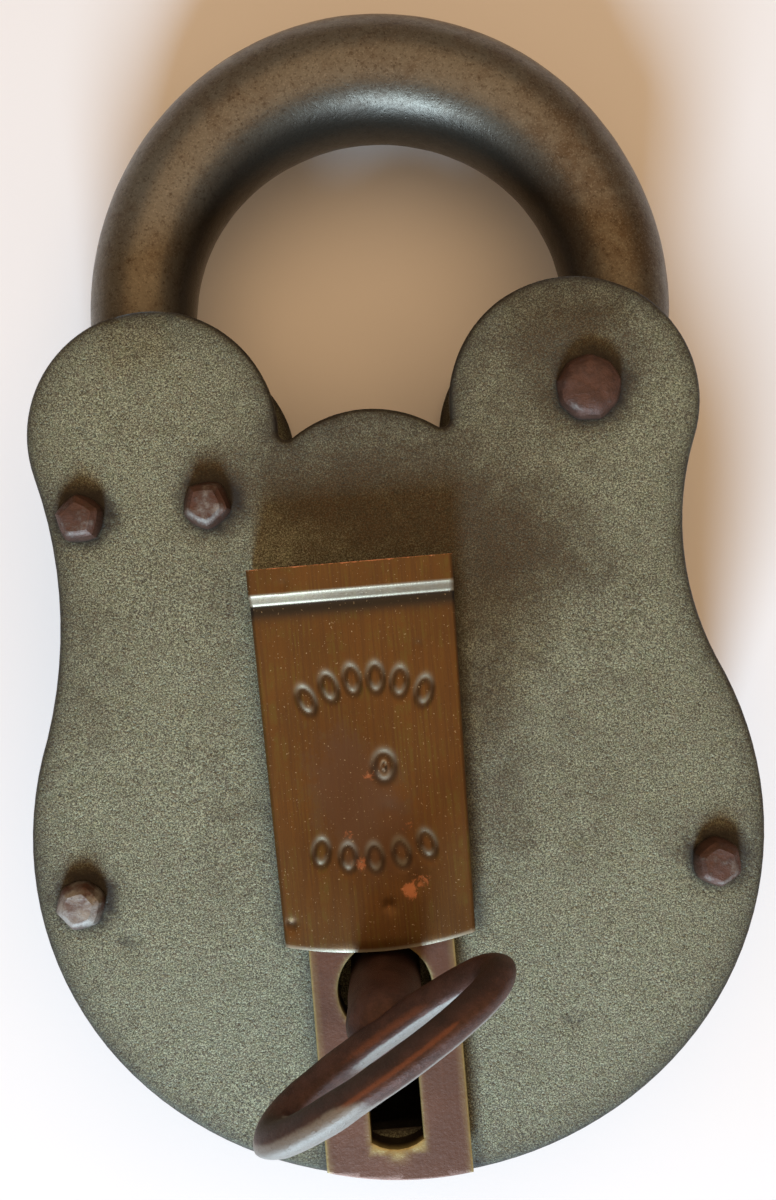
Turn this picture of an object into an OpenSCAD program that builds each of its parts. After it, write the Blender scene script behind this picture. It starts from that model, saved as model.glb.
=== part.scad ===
// Two-lever pancake padlock with a pipe key in its lock.
// It lies on its back plate: +Z is the front, +Y points to the shackle,
// and the origin is the centre of the round body on the back face.

/* [Case] */
// Mean radius of the round lower body
body_r = 31.6; // [31:0.1:38]
// How much the body is flattened below and swollen at its lower corners
body_flat = 0.65; // [0:0.05:1]
// Thickness over both case plates
case_t = 21; // [20:0.5:26]
// Thickness of each case plate
plate_t = 1.6; // [1.2:0.1:2]
// Sideways distance of each ear's centre from the middle
ear_x = 18.6; // [18.2:0.1:19]
// Height of the ears' centres above the body's centre
ear_y = 35.7; // [35:0.1:37]
// Radius of each ear
ear_r = 11; // [10.8:0.1:12]
// Radius of the hollow waist on the right
waist_r = 25.7; // [22:0.1:30]
// Radius of the shallower waist on the left
waist_left_r = 40; // [34:0.5:44]
// Height of the bump's top between the ears
bump_top = 36.5; // [35:0.1:37]
// Radius of the bump between the ears
bump_r = 11; // [10.5:0.1:12]
// Thickness of the side strip between the plates
rim_t = 1.1; // [0.8:0.1:1.2]
// How far the side strip lies in from the plates' edge
rim_inset = 0.3; // [0.1:0.1:0.4]

/* [Rivets] */
// Radius of the case rivets' shanks
rivet_r = 1.3; // [1:0.05:1.4]
// Height of the rivet heads
head_h = 1.8; // [1:0.1:2.5]
// Distance of the lower rivets from the plates' edge
rivet_in = 3.2; // [3:0.1:4]
// Radius of the shackle's pivot rivet
pivot_r = 2; // [1.6:0.1:2.4]

/* [Shackle] */
// Radius of the shackle's centre line
bow_r = 22.7; // [22:0.1:25]
// Sideways place of the shackle's centre
bow_x = 2.35; // [1.5:0.05:3]
// Height of the shackle's centre
bow_y = 46.9; // [46:0.1:50]
// Radius of the shackle bar at its legs
leg_r = 5.1; // [4.2:0.1:5.3]
// Radius of the shackle bar at its crown
crown_r = 5.85; // [4.8:0.05:6.5]
// Radius of the shackle's round hub
hub_r = 6.3; // [5:0.1:6.8]
// Radial width of the locking toe
toe_w = 7.2; // [6:0.1:7.3]
// Thickness of the locking toe
toe_t = 8; // [5:0.5:10]

/* [Lock] */
// Sideways place of the key's axis
key_x = -2.2; // [-3:0.1:-1]
// Height of the key's axis above the body's centre
key_y = -13.55; // [-14:0.05:-12]
// Radius of the drill pin that the key slides over
pin_r = 1.5; // [1:0.1:1.8]
// How far the bolt travels
throw = 6.5; // [5:0.1:7]
// Thickness of the bolt
bolt_t = 3; // [2:0.1:4]
// Height of the bolt's underside above the back face
bolt_z = 8.2; // [6.6:0.1:9]
// Thickness of each lever
lever_t = 1.6; // [1:0.1:2]
// Sideways place of the levers' post
post_x = 15; // [14.5:0.1:16]
// Height of the levers' post above the body's centre
post_y = -1.3; // [-2:0.1:0]

/* [Key] */
// Outer radius of the pipe shank
shank_r = 3.15; // [2.5:0.05:3.3]
// Reach of the key's bit where it moves the bolt
bit_r = 12.6; // [12:0.1:13]
// Thickness of the bit
bit_t = 2.4; // [1.6:0.1:3]
// Width of the bow
bow_w = 23.5; // [20:0.5:30]
// Height of the bow
bow_h = 12; // [11:0.5:20]
// Width of the band that the bow is made of
bow_band = 3.5; // [2:0.1:4]
// Thickness of the bow
bow_t = 2.6; // [2:0.1:4]
// Direction of the bit and the bow, in degrees from +X
key_turn = 30.6; // [20:0.1:40]

/* [Cover] */
// Half width of the raised keyhole plate
track_w = 6.25; // [5.5:0.05:6.6]
// Half width of the sliding cover at its top
cover_top_w = 8.75; // [8.3:0.05:9.5]
// Half width of the sliding cover at its lower edge
cover_low_w = 8.1; // [7.8:0.05:9]
// Height of the sliding cover's top edge above the body's centre
cover_top = 23.1; // [22:0.1:26]
// Thickness of the sliding cover's sheet
cover_t = 1; // [0.6:0.1:1.2]
// Radius of the keyhole
keyhole_r = 4.05; // [3.6:0.05:4.4]
// Half width of the slot below the keyhole
slot_w = 2.22; // [1.6:0.02:2.4]

/* [Hidden] */

fit = 0.05;                          // radial clearance of a pin in its hole
gap = 0.3;                           // clearance between sliding pieces
eps = 0.01;
arc_step = 6;                        // degrees between the points of the plates' outline
inner_low = plate_t;                 // inner face of the back plate
inner_high = case_t - plate_t;       // inner face of the front plate
mid_z = case_t / 2;
notch_r = 0.8;                       // fillet between an ear and the bump
body_c = [0, 0];
ear_c = [ear_x, ear_y];
bump_c = [0, bump_top - bump_r];
notch_c = meeting(bump_c, bump_r + notch_r, ear_c, ear_r + notch_r);
rim_in = rim_inset + rim_t;          // inner face of the side strip, in from the plates' edge
rim_right_end = 25.9;                // the strip leaves room for the shackle's swing
rim_left_end = ear_y + 4.8;          // and for its free leg

pivot = [19.8, 36.6];                // the shackle's hinge
flush_h = 1;                         // depth of a flush rivet end in the back plate
flush_r = 0.9;                       // how much a flush rivet end spreads

rivet_gap = 0.4;                     // toe to the posts at both sides of its way
toe_in = bow_x - bow_r;              // middle of the shackle's free leg
toe_mid = pivot[0] - toe_in;         // the toe's mean distance from the hinge
toe_low_r = toe_mid - toe_w / 2;
toe_high_r = toe_mid + toe_w / 2;
toe_angle = 26.8;                    // how far the toe reaches round the hinge
leg_end = 32.4;                      // lower end of the round leg
bow_end = -38;                       // the bow runs on past its widest point into the hub
bow_end_r = 2.6;
bow_stops = 30;                      // rings along the bow
bow_sides = 28;                      // sides of its bar
inner_post_angle = 12.3;             // directions of the two upper rivets from the hinge
outer_post_angle = 9.7;
inner_post = pivot - (toe_low_r - rivet_gap - rivet_r) * polar(inner_post_angle);
outer_post_gap = 0.35;               // and how much further out the outer one stands
outer_post = pivot - (toe_high_r + rivet_gap + outer_post_gap + rivet_r) * polar(outer_post_angle);
lower_left = (body_r - rivet_in) * polar(189.4);
lower_right = (body_r - rivet_in - 0.4) * polar(-11.3);

nose_w = 5.4;                        // width of the bolt's nose
nose_low = inner_post[1] - rivet_r - rivet_gap - nose_w;
notch_deep = toe_in + 0.4;           // deep end of the toe's notch
nose_tip = notch_deep + gap + 0.3 + throw;
stump = [nose_tip - 0.1, 10.4];      // the bolt's stump at rest
stump_r = 1.5;
stump_boss = 2.8;                    // the bolt's metal round the stump
talon_y = key_y + 0.81 * bit_r;      // the bolt's lower edge
talon_top = key_y + bit_r + 0.5;     // top of the talon's notch
talon_x = key_x + throw / 2;
talon_w = 7.3;                       // half width of the talon's notch
jaw_w = 2.9;
tail_top = 8.4;
column_left = nose_tip + 8.3;
column_right = 10.5;
guide_upper = [column_left + 4.1, 17.5];
guide_lower = [0.5, talon_top + 4.5];
guide_r = 1.6;
guide_shoulder = 2.6;

washer_t = 0.5;
washer_gap = 0.05;
bolt_top = bolt_z + bolt_t;
lever_back_z = bolt_top + 0.4;
lever_front_z = lever_back_z + lever_t + washer_t + 2 * washer_gap;
lever_end = lever_front_z + lever_t;
post = [post_x, post_y];
post_r = 1.9;
post_end_r = post_r - 0.4;           // its ends in the plates
post_collar_r = post_r + 1.1;
boss_r = 4.4;                        // the levers' round boss
belly_gap = 0.4;
bit_back_r = bit_r - 1;              // the bit's reach under the back lever
bit_front_r = bit_r - 0.6;           // and under the front lever
pocket_up = 3.2;                     // the stump's room above and below the gate
pocket_down = 3.8;
gate_w = 3.4;
lever_low = stump[1] - 5.4;
lever_high = stump[1] + 4.6;
lever_left = stump[0] - throw - stump_r - 2;
spring_t = 0.5;
spring_w = 1.2;
spring_r = 20.2;
spring_c = [14.9, -6.4];
spring_left = 130.5;                 // directions of each leaf spring's ends
spring_right = 48;

bore_r = pin_r + fit;
key_low = plate_t + 1.1;             // lower end of the pipe
pin_top = case_t - 3;
bow_low = case_t + 10.3;             // lowest point of the bow
bow_mid = bow_low + bow_h / 2;
bow_side = (bow_w - bow_h) / 2;
bit_low = bolt_z - 0.6;               // heights of the bit's steps
bit_step = bolt_top + 0.2;
bit_mid = lever_back_z + lever_t + 0.3;
bit_high = lever_end + 0.8;

track_web = 4.6;                     // half width of the keyhole plate's foot
track_foot = 1.1;
track_t = 1.1;
track_top = case_t + track_foot + track_t;
track_end = 21.5;                    // upper end of the keyhole plate
track_in = 0.9;                      // its lower end, in from the plates' edge
slot_end = key_y - bit_r - 1.1;      // lower end of the keyhole's slot
cover_z = case_t + 0.15;
lip_t = 0.8;
cover_roof = track_top + 0.15;       // underside of the cover's sheet
cover_low = key_y + keyhole_r + 0.6; // lower corners of the cover
cover_sag = 1.1;                     // how far its lower edge bows down
thumb_low = cover_top - 2.4;         // the raised lip along the top edge
thumb_h = 0.8;
fixing_r = 1.2;                      // the keyhole plate's rivets
fixing_spread = 0.8;                 // how much and how deep their ends spread
fixing_inside = 0.5;                 // thickness of their ends inside the case
cover_fixings = [guide_upper[1] - guide_r - fixing_r - fixing_spread - 0.5, 4];

$fn = 64;

function polar(a) = [cos(a), sin(a)];
function flip(p) = [-p[0], p[1]];
// The meeting point of two circles that lies to the right of the line from b to a
function meeting(a, ra, b, rb) =
    let (d = norm(a - b),
        u = (a - b) / d,
        along = (rb * rb - ra * ra + d * d) / (2 * d),
        off = sqrt(rb * rb - along * along))
    b + along * u + off * [u[1], -u[0]];
function angle_of(p) = atan2(p[1], p[0]);
// Points on an arc from angle a to angle b, both ends included
function arc(c, r, a, b) =
    let (n = max(1, ceil(abs(b - a) / arc_step)))
    [for (i = [0:n]) c + r * polar(a + (b - a) * i / n)];
// Points from the body's lowest point round to angle high, on a slightly squared circle
function body_arc(r, high) =
    let (n = ceil((high + 90) / arc_step))
    [for (i = [0:n]) (r - body_flat * cos(270 * i / n)) * polar(-90 + (high + 90) * i / n)];
// Right half of the outline for a waist radius, from the bottom to the bump's top, in by d
function half_outline(d, hollow_r) =
    let (waist_c = meeting(ear_c, ear_r + hollow_r, body_c, body_r + hollow_r),
        low = angle_of(waist_c - body_c),
        high = angle_of(waist_c - ear_c),
        to_notch = angle_of(notch_c - ear_c) + 360,
        from_bump = angle_of(notch_c - bump_c))
    concat(
        body_arc(body_r - d, low),
        arc(waist_c, hollow_r + d, low + 180, high + 180),
        arc(ear_c, ear_r - d, high, to_notch),
        arc(notch_c, notch_r + d, to_notch - 180, from_bump - 180),
        arc(bump_c, bump_r - d, from_bump, 90));
function outline(d) =
    let (right = half_outline(d, waist_r), left = half_outline(d, waist_left_r))
    concat(right, [for (i = [len(left) - 2:-1:1]) flip(left[i])]);

module plate(z) {
    translate([0, 0, z]) linear_extrude(plate_t) polygon(outline(0));
}

module at(p, z = 0) {
    translate([p[0], p[1], z]) children();
}

// Clearance holes for everything that is riveted through both plates
module rivet_holes(z, h) {
    for (p = [outer_post, inner_post, lower_left, lower_right])
        at(p, z) cylinder(h = h, r = rivet_r + fit);
    at(pivot, z) cylinder(h = h, r = pivot_r + fit);
    at(post, z) cylinder(h = h, r = post_end_r + fit);
}

// The spread end of a rivet in the back plate
module flush_end(r, spare = 0) {
    cylinder(h = flush_h, r1 = r + flush_r + spare, r2 = r + spare);
}

module back_plate() {
    color("#6b6450") difference() {
        plate(0);
        rivet_holes(-eps, plate_t + 2 * eps);
        for (p = [outer_post, inner_post, lower_left, lower_right])
            at(p) flush_end(rivet_r, fit);
        at(pivot) flush_end(pivot_r, fit);
        for (p = [guide_upper, guide_lower])
            at(p, -eps) cylinder(h = plate_t + 2 * eps, r = guide_r + fit);
        at([key_x, key_y], -eps) cylinder(h = plate_t + 2 * eps, r = bore_r);
    }
}

// The keyhole's outline, grown by g
module keyhole(g = 0) {
    at([key_x, key_y]) circle(keyhole_r + g);
    translate([key_x - slot_w - g, slot_end - g])
        square([2 * (slot_w + g), key_y - slot_end + g]);
}

module front_plate() {
    color("#756f58") difference() {
        plate(inner_high);
        rivet_holes(inner_high - eps, plate_t + 2 * eps);
        for (y = cover_fixings)
            at([key_x, y], inner_high - eps) cylinder(h = plate_t + 2 * eps, r = fixing_r + fit);
        translate([0, 0, inner_high - eps]) linear_extrude(plate_t + 2 * eps) keyhole(gap);
    }
}

module strip() {
    translate([0, 0, inner_low]) linear_extrude(inner_high - inner_low) difference() {
        polygon(outline(rim_inset));
        polygon(outline(rim_in));
    }
}

module case_rim() {
    reach = 2 * body_r;
    color("#5c513e") intersection() {
        strip();
        union() {
            translate([0, -reach, 0]) cube([reach, reach + rim_right_end, case_t]);
            translate([-reach, -reach, 0]) cube([reach + eps, 2 * reach, case_t]);
        }
        translate([-reach, -reach, 0]) cube([2 * reach, reach + rim_left_end, case_t]);
        union() {
            translate([-reach, -reach, 0]) cube([2 * reach, reach, case_t]);
            translate([-reach, -eps, 0]) cube([reach - ear_x - ear_r / 2, reach, case_t]);
            translate([ear_x, -eps, 0]) cube([reach, reach, case_t]);
        }
    }
}

module top_rim() {
    half = 6;
    color("#5c513e") intersection() {
        strip();
        translate([-half, bump_c[1], 0]) cube([2 * half, 2 * bump_r, case_t]);
    }
}

module case_rivet(p, head_base, head_top) {
    color("#4a3b30") at(p) {
        cylinder(h = case_t + eps, r = rivet_r);
        flush_end(rivet_r);
        translate([0, 0, case_t]) cylinder(h = head_h, r1 = head_base, r2 = head_top);
    }
}

module upper_rivet_outer() {
    case_rivet(outer_post, 2.1, 1.6);
}

module upper_rivet_inner() {
    case_rivet(inner_post, 2.1, 1.6);
}

module lower_rivet_left() {
    case_rivet(lower_left, 1.85, 1.35);
}

module lower_rivet_right() {
    case_rivet(lower_right, 2.2, 1.75);
}

module shackle_rivet() {
    color("#4a3b30") at(pivot) {
        cylinder(h = case_t + eps, r = pivot_r);
        flush_end(pivot_r);
        translate([0, 0, case_t]) cylinder(h = head_h, r1 = pivot_r + 0.65, r2 = pivot_r + 0.1);
    }
}

// The shackle bar's radius at angle a of its bow: thickest at the crown, thin inside the hub
function bar_r(a) = leg_r + (crown_r - leg_r) * pow(max(0, sin(a)), 2)
    - (leg_r - bow_end_r) * pow(min(a, 0) / bow_end, 2);
// Centre point, direction across the bar and radius of each ring of the shackle
bow_rings = concat(
    [[[bow_x - bow_r, leg_end], [-1, 0], leg_r]],
    [for (i = [0:bow_stops]) let (a = 180 - (180 - bow_end) * i / bow_stops)
        [[bow_x, bow_y] + bow_r * polar(a), polar(a), bar_r(a)]]);
function ring_points(ring) =
    [for (k = [0:bow_sides - 1]) let (t = 360 * k / bow_sides,
            p = ring[0] + ring[2] * cos(t) * ring[1])
        [p[0], p[1], mid_z + ring[2] * sin(t)]];
module bow_bar_solid() {
    n = bow_sides;
    last = len(bow_rings) - 1;
    polyhedron(
        points = [for (ring = bow_rings) each ring_points(ring)],
        faces = concat(
            [[for (k = [0:n - 1]) k]],
            [for (i = [0:last - 1]) for (k = [0:n - 1])
                let (m = (k + 1) % n) [i * n + k, (i + 1) * n + k, (i + 1) * n + m, i * n + m]],
            [[for (k = [0:n - 1]) last * n + n - 1 - k]]),
        convexity = 4);
}

module toe() {
    start = 3.5;                     // the toe's upper end lies inside the round leg
    points = concat(
        arc(pivot, toe_high_r, 180 + start, 180 + toe_angle),
        arc(pivot, toe_low_r, 180 + toe_angle, 180 + start));
    translate([0, 0, mid_z - toe_t / 2]) linear_extrude(toe_t) difference() {
        polygon(points);
        translate([notch_deep, nose_low - gap]) square([20, nose_w + 2 * gap]);
    }
}

module shackle() {
    color("#53443a") difference() {
        union() {
            bow_bar_solid();
            toe();
            at(pivot, inner_low + gap) cylinder(h = inner_high - inner_low - 2 * gap, r = hub_r);
        }
        at(pivot) cylinder(h = case_t, r = pivot_r + fit);
    }
}

module track_outline(half) {
    intersection() {
        polygon(outline(track_in));
        translate([key_x - half, -body_r]) square([2 * half, body_r + track_end]);
    }
}

module keyhole_plate() {
    color("#6f5540") difference() {
        translate([0, 0, case_t]) {
            linear_extrude(track_foot + eps) track_outline(track_web);
            translate([0, 0, track_foot]) linear_extrude(track_t) track_outline(track_w);
        }
        translate([0, 0, case_t - eps]) linear_extrude(track_foot + track_t + 1) keyhole();
        for (y = cover_fixings) {
            at([key_x, y], case_t - eps) cylinder(h = track_foot + track_t + 1, r = fixing_r + fit);
            at([key_x, y], track_top - fixing_spread)
                cylinder(h = fixing_spread + eps, r1 = fixing_r + fit, r2 = fixing_r + fixing_spread + fit);
        }
    }
}

module keyhole_plate_rivets() {
    color("#7a5f3a") for (y = cover_fixings) at([key_x, y]) {
        low = inner_high - fixing_inside;
        translate([0, 0, low]) cylinder(h = fixing_inside, r = fixing_r + fixing_spread);
        translate([0, 0, low]) cylinder(h = track_top - low, r = fixing_r);
        translate([0, 0, track_top - fixing_spread])
            cylinder(h = fixing_spread, r1 = fixing_r, r2 = fixing_r + fixing_spread);
    }
}

// The sliding cover's face, in by d at its sides
module cover_face(d = 0) {
    chord = 2 * (cover_low_w - d);
    sag_r = (chord * chord / 4 + cover_sag * cover_sag) / (2 * cover_sag);
    sweep = asin(chord / 2 / sag_r);
    points = concat(
        arc([key_x, cover_low - cover_sag + sag_r], sag_r, 270 - sweep, 270 + sweep),
        [[key_x + cover_top_w - d, cover_top], [key_x - cover_top_w + d, cover_top]]);
    polygon(points);
}

module keyhole_cover() {
    tall = cover_roof + cover_t - cover_z;
    reach = 3 * body_r;
    color("#634524") {
        difference() {
            translate([0, 0, cover_z]) linear_extrude(tall) cover_face();
            // The sheet's folded channel, open at both ends
            translate([0, 0, cover_z + lip_t]) linear_extrude(cover_roof - cover_z - lip_t)
                union() {
                    cover_face(cover_t);
                    translate([key_x - cover_low_w + cover_t, -body_r])
                        square([2 * (cover_low_w - cover_t), reach]);
                }
            translate([key_x - track_web - gap, -body_r, cover_z - eps])
                cube([2 * (track_web + gap), reach, lip_t + 2 * eps]);
        }
        // The raised lip for the thumb
        translate([0, 0, cover_roof + cover_t - eps]) linear_extrude(thumb_h + eps)
            intersection() {
                cover_face(0.1);
                translate([key_x - cover_top_w, thumb_low])
                    square([2 * cover_top_w, cover_top - thumb_low - 0.2]);
            }
    }
}

// The bow's oval, with round ends of radius r
module oval(r) {
    for (s = [-1, 1]) translate([s * bow_side, 0]) circle(r);
    square([2 * bow_side, 2 * r], center = true);
}

// One step of the bit, out to r
module bit(low, high, r) {
    translate([0, -bit_t / 2, low]) cube([r, bit_t, high - low]);
}

module key() {
    color("#54403a") at([key_x, key_y]) rotate(key_turn) {
        difference() {
            union() {
                translate([0, 0, key_low]) cylinder(h = bow_low + bow_band / 2 - key_low, r = shank_r);
                bit(bit_low, bit_step, bit_r);
                bit(bit_step - eps, bit_mid, bit_back_r);
                bit(bit_mid - eps, bit_high, bit_front_r);
            }
            translate([0, 0, key_low - eps]) cylinder(h = pin_top + gap - key_low, r = bore_r);
        }
        translate([0, bow_t / 2, bow_mid]) rotate([90, 0, 0]) linear_extrude(bow_t) difference() {
            oval(bow_h / 2);
            oval(bow_h / 2 - bow_band);
        }
    }
}

module drill_pin() {
    color("#4f4a44") at([key_x, key_y]) {
        cylinder(h = pin_top, r = pin_r);
        translate([0, 0, inner_low]) cylinder(h = key_low - inner_low - gap, r = pin_r + 1);
    }
}

// A slot for a guide stud, as long as the bolt's travel
module guide_slot(p) {
    r = guide_r + gap;
    at(p) circle(r);
    at(p + [throw, 0]) circle(r);
    translate([p[0], p[1] - r]) square([throw, 2 * r]);
}

module bolt() {
    color("#5e5850") translate([0, 0, bolt_z]) linear_extrude(bolt_t) difference() {
        union() {
            translate([talon_x - talon_w - jaw_w, talon_y])
                square([2 * (talon_w + jaw_w), tail_top - talon_y]);
            translate([column_left, talon_top])
                square([column_right - column_left, nose_low + nose_w - talon_top]);
            translate([nose_tip, nose_low]) square([column_left - nose_tip + 1, nose_w]);
            translate([stump[0], stump[1] - stump_boss])
                square([column_left - stump[0] + 1, 2 * stump_boss]);
            at(stump) circle(stump_boss);
        }
        translate([talon_x - talon_w, talon_y - 1]) square([2 * talon_w, talon_top - talon_y + 1]);
        guide_slot(guide_upper);
        guide_slot(guide_lower);
        at(stump) circle(stump_r + eps);
    }
}

module bolt_stump() {
    color("#4f4a44") at(stump, bolt_z) cylinder(h = lever_end + gap - bolt_z, r = stump_r);
}

// A shouldered stud that guides the bolt
module guide(p, top) {
    color("#4f4a44") at(p) {
        cylinder(h = top, r = guide_r);
        translate([0, 0, inner_low])
            cylinder(h = bolt_z - fit - inner_low, r = guide_shoulder);
    }
}

module bolt_guide_upper() {
    guide(guide_upper, inner_high);
}

module bolt_guide_lower() {
    guide(guide_lower, bolt_top + 0.1);
}

// A lever: its boss on the post, an arched belly over the key, and a gated window for the stump
module lever_face(reach) {
    left = [stump[0] - throw, stump[1]];
    web = 2.3;                       // metal beside the gate
    web_mid = (left[0] + stump[0]) / 2;
    belly = reach + belly_gap;
    difference() {
        union() {
            at(post) circle(boss_r);
            polygon([[lever_left, lever_low], [key_x - 12.6, lever_low], [key_x - 13, key_y + 10.5],
                [key_x - 11.4, key_y + 5.3], [key_x, key_y], [key_x + 10.8, key_y + 5.1],
                [post_x - 1, post_y - 4.1], [post_x - 1, post_y + 4.1], [key_x + 2.2, post_y + 10.8],
                [key_x - 6.8, lever_high], [lever_left, lever_high]]);
        }
        at(post) circle(post_r + fit);
        at([key_x, key_y]) circle(belly);
        difference() {
            translate([left[0] - stump_r - 0.7, stump[1] - pocket_down])
                square([throw + 2 * stump_r + 1.4, pocket_down + pocket_up]);
            for (s = [[stump[1] + gate_w / 2, 20], [stump[1] - gate_w / 2 - 20, 20]])
                translate([web_mid - web / 2, s[0]]) square([web, s[1]]);
        }
    }
}

module lever_back() {
    color("#6a6256") translate([0, 0, lever_back_z])
        linear_extrude(lever_t) lever_face(bit_back_r);
}

module lever_front() {
    color("#6a6256") translate([0, 0, lever_front_z])
        linear_extrude(lever_t) lever_face(bit_front_r);
}

module lever_post() {
    color("#4f4a44") at(post) {
        cylinder(h = case_t, r = post_end_r);
        translate([0, 0, inner_low]) cylinder(h = inner_high - inner_low, r = post_r);
        translate([0, 0, inner_low])
            cylinder(h = lever_back_z - fit - inner_low, r = post_collar_r);
    }
}

module lever_washer() {
    color("#5e5850") at(post, lever_back_z + lever_t + washer_gap) difference() {
        cylinder(h = washer_t, r = boss_r - 0.6);
        translate([0, 0, -eps]) cylinder(h = washer_t + 2 * eps, r = post_r + fit);
    }
}

module lever_sleeve() {
    low = lever_end + washer_gap;
    color("#5e5850") at(post, low) difference() {
        cylinder(h = inner_high - low, r = post_collar_r);
        translate([0, 0, -eps]) cylinder(h = inner_high - low + 2 * eps, r = post_r + fit);
    }
}

// A bowed leaf between a lever's back and the side strip
module leaf_spring(z) {
    color("#4a4640") translate([0, 0, z + (lever_t - spring_w) / 2]) linear_extrude(spring_w)
        polygon(concat(
            arc(spring_c, spring_r + spring_t / 2, spring_right, spring_left),
            arc(spring_c, spring_r - spring_t / 2, spring_left, spring_right)));
}

module lever_spring_back() {
    leaf_spring(lever_back_z);
}

module lever_spring_front() {
    leaf_spring(lever_front_z);
}

back_plate();
front_plate();
case_rim();
top_rim();
upper_rivet_outer();
upper_rivet_inner();
lower_rivet_left();
lower_rivet_right();
shackle();
shackle_rivet();
keyhole_plate();
keyhole_plate_rivets();
keyhole_cover();
key();
drill_pin();
bolt();
bolt_stump();
bolt_guide_upper();
bolt_guide_lower();
lever_back();
lever_front();
lever_post();
lever_washer();
lever_sleeve();
lever_spring_back();
lever_spring_front();
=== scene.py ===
"""A rusty pancake padlock with its pipe key standing in the lock, lying on a pale table."""

import math

import bmesh
import bpy
from bpy.props import FloatProperty, FloatVectorProperty, PointerProperty
from mathutils import Matrix, Vector, kdtree, noise


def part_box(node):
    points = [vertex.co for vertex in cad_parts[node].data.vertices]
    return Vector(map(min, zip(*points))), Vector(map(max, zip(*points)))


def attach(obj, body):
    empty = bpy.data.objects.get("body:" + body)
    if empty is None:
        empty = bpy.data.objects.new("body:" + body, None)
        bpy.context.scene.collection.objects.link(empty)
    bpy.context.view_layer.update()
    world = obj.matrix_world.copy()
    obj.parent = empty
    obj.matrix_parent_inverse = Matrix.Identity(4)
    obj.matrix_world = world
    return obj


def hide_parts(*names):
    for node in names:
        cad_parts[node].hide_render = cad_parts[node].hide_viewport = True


bl_info = {
    "name": "Rusty padlock",
    "version": (1, 0, 0),
    "blender": (4, 5, 0),
    "location": "3D View > Sidebar > Padlock",
    "description": "Builds the weathered looks of a pancake padlock and its key",
    "category": "Add Mesh",
}

MM = 0.001
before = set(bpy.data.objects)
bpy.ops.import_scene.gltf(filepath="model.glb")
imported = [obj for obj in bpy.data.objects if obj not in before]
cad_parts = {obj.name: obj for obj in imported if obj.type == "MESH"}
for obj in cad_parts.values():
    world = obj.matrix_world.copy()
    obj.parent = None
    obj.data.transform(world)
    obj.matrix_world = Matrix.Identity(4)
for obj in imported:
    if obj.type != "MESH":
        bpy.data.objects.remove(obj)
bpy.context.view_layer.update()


# ---------------------------------------------------------------- places from the CAD nodes

def box_mm(node):
    """A CAD node's lowest and highest corner, in millimetres."""
    low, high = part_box(node)
    return low / MM, high / MM


def middle(node):
    """The middle of a CAD node's box, in millimetres."""
    low, high = box_mm(node)
    return (low + high) / 2


def srgb(red, green, blue):
    """A colour written in 0 to 255 as seen, as scene-linear numbers."""
    def linear(c):
        c = c / 255
        return c / 12.92 if c <= 0.04045 else ((c + 0.055) / 1.055) ** 2.4
    return (linear(red), linear(green), linear(blue), 1.0)


FRONT = box_mm("front_plate")[1].z
KEY_AXIS = middle("drill_pin")
EAR_X, EAR_Y, EAR_R = 18.6, 35.7, 11            # centre of the right ear, and its radius
TOE_ANGLES = 3.5, 26.8                          # the shackle's toe, in degrees round the hinge
BOLT_NOSE, NOSE_GAP = 5.4, 0.3                  # width of the bolt's nose, and the room round it


# ---------------------------------------------------------------- sizes and colours to change

def length(name, description, default):
    """A size to change, given in millimetres."""
    return FloatProperty(name=name, description=description, default=default * MM,
                         subtype="DISTANCE", unit="LENGTH", precision=5)


def colour(name, description, red, green, blue):
    """A colour to change, given in 0 to 255."""
    return FloatVectorProperty(name=name, description=description, subtype="COLOR", size=4,
                               min=0, max=1, default=srgb(red, green, blue))


class PADLOCK_PG_case(bpy.types.PropertyGroup):
    body_radius: length("Body radius", "Mean radius of the round lower body", 31.6)
    body_flat: length("Body flatness", "How much the body is flattened below", 0.65)
    waist_radius: length("Right waist radius", "Radius of the hollow waist on the right", 25.7)
    waist_left: length("Left waist radius", "Radius of the shallower waist on the left", 40)
    ear_radius: length("Ear radius", "Radius of each ear", EAR_R)
    ear_across: length("Ear offset", "Sideways distance of each ear's centre", EAR_X)
    ear_height: length("Ear height", "Height of the ears' centres above the body's", EAR_Y)
    bump_top: length("Bump top", "Height of the bump between the ears", 36.5)
    bump_radius: length("Bump radius", "Radius of the bump between the ears", 11)
    notch_radius: length("Notch radius", "Fillet between an ear and the bump", 0.8)
    edge_round: length("Edge rounding", "Worn rounding of the plates' front edge", 0.55)
    cell: length("Mesh cell", "Size of the plates' mesh cells", 1.0)


class PADLOCK_PG_shackle(bpy.types.PropertyGroup):
    bow_radius: length("Bow radius", "Radius of the shackle's centre line", 22.7)
    bow_across: length("Bow offset", "Sideways place of the bow's centre", 2.35)
    bow_height: length("Bow height", "Height of the bow's centre", 46.9)
    leg_radius: length("Leg radius", "Radius of the bar at its legs", 5.06)
    crown_radius: length("Crown radius", "Radius of the bar at its crown", 5.81)
    leg_end: length("Leg end", "Lower end of the round leg", 32.4)


class PADLOCK_PG_cover(bpy.types.PropertyGroup):
    sheet: length("Sheet thickness", "Thickness of the sliding cover's sheet", 0.85)
    sag: length("Lower edge sag", "How far the lower edge bows down", 1.1)
    lip_height: length("Lip height", "Height of the raised thumb lip", 0.75)
    mark_depth: length("Punch depth", "Depth of the punched ornament", 0.16)


class PADLOCK_PG_key(bpy.types.PropertyGroup):
    bow_width: length("Bow width", "Width of the key's bow", 23.4)
    bow_rise: length("Bow height", "Height of the key's bow", 11.96)
    band: length("Bow band", "Width of the band that the bow is made of", 3.44)
    bow_thick: length("Bow thickness", "Thickness of the bow", 2.56)
    shank_radius: length("Shank radius", "Outer radius of the pipe shank", 3.12)


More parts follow.
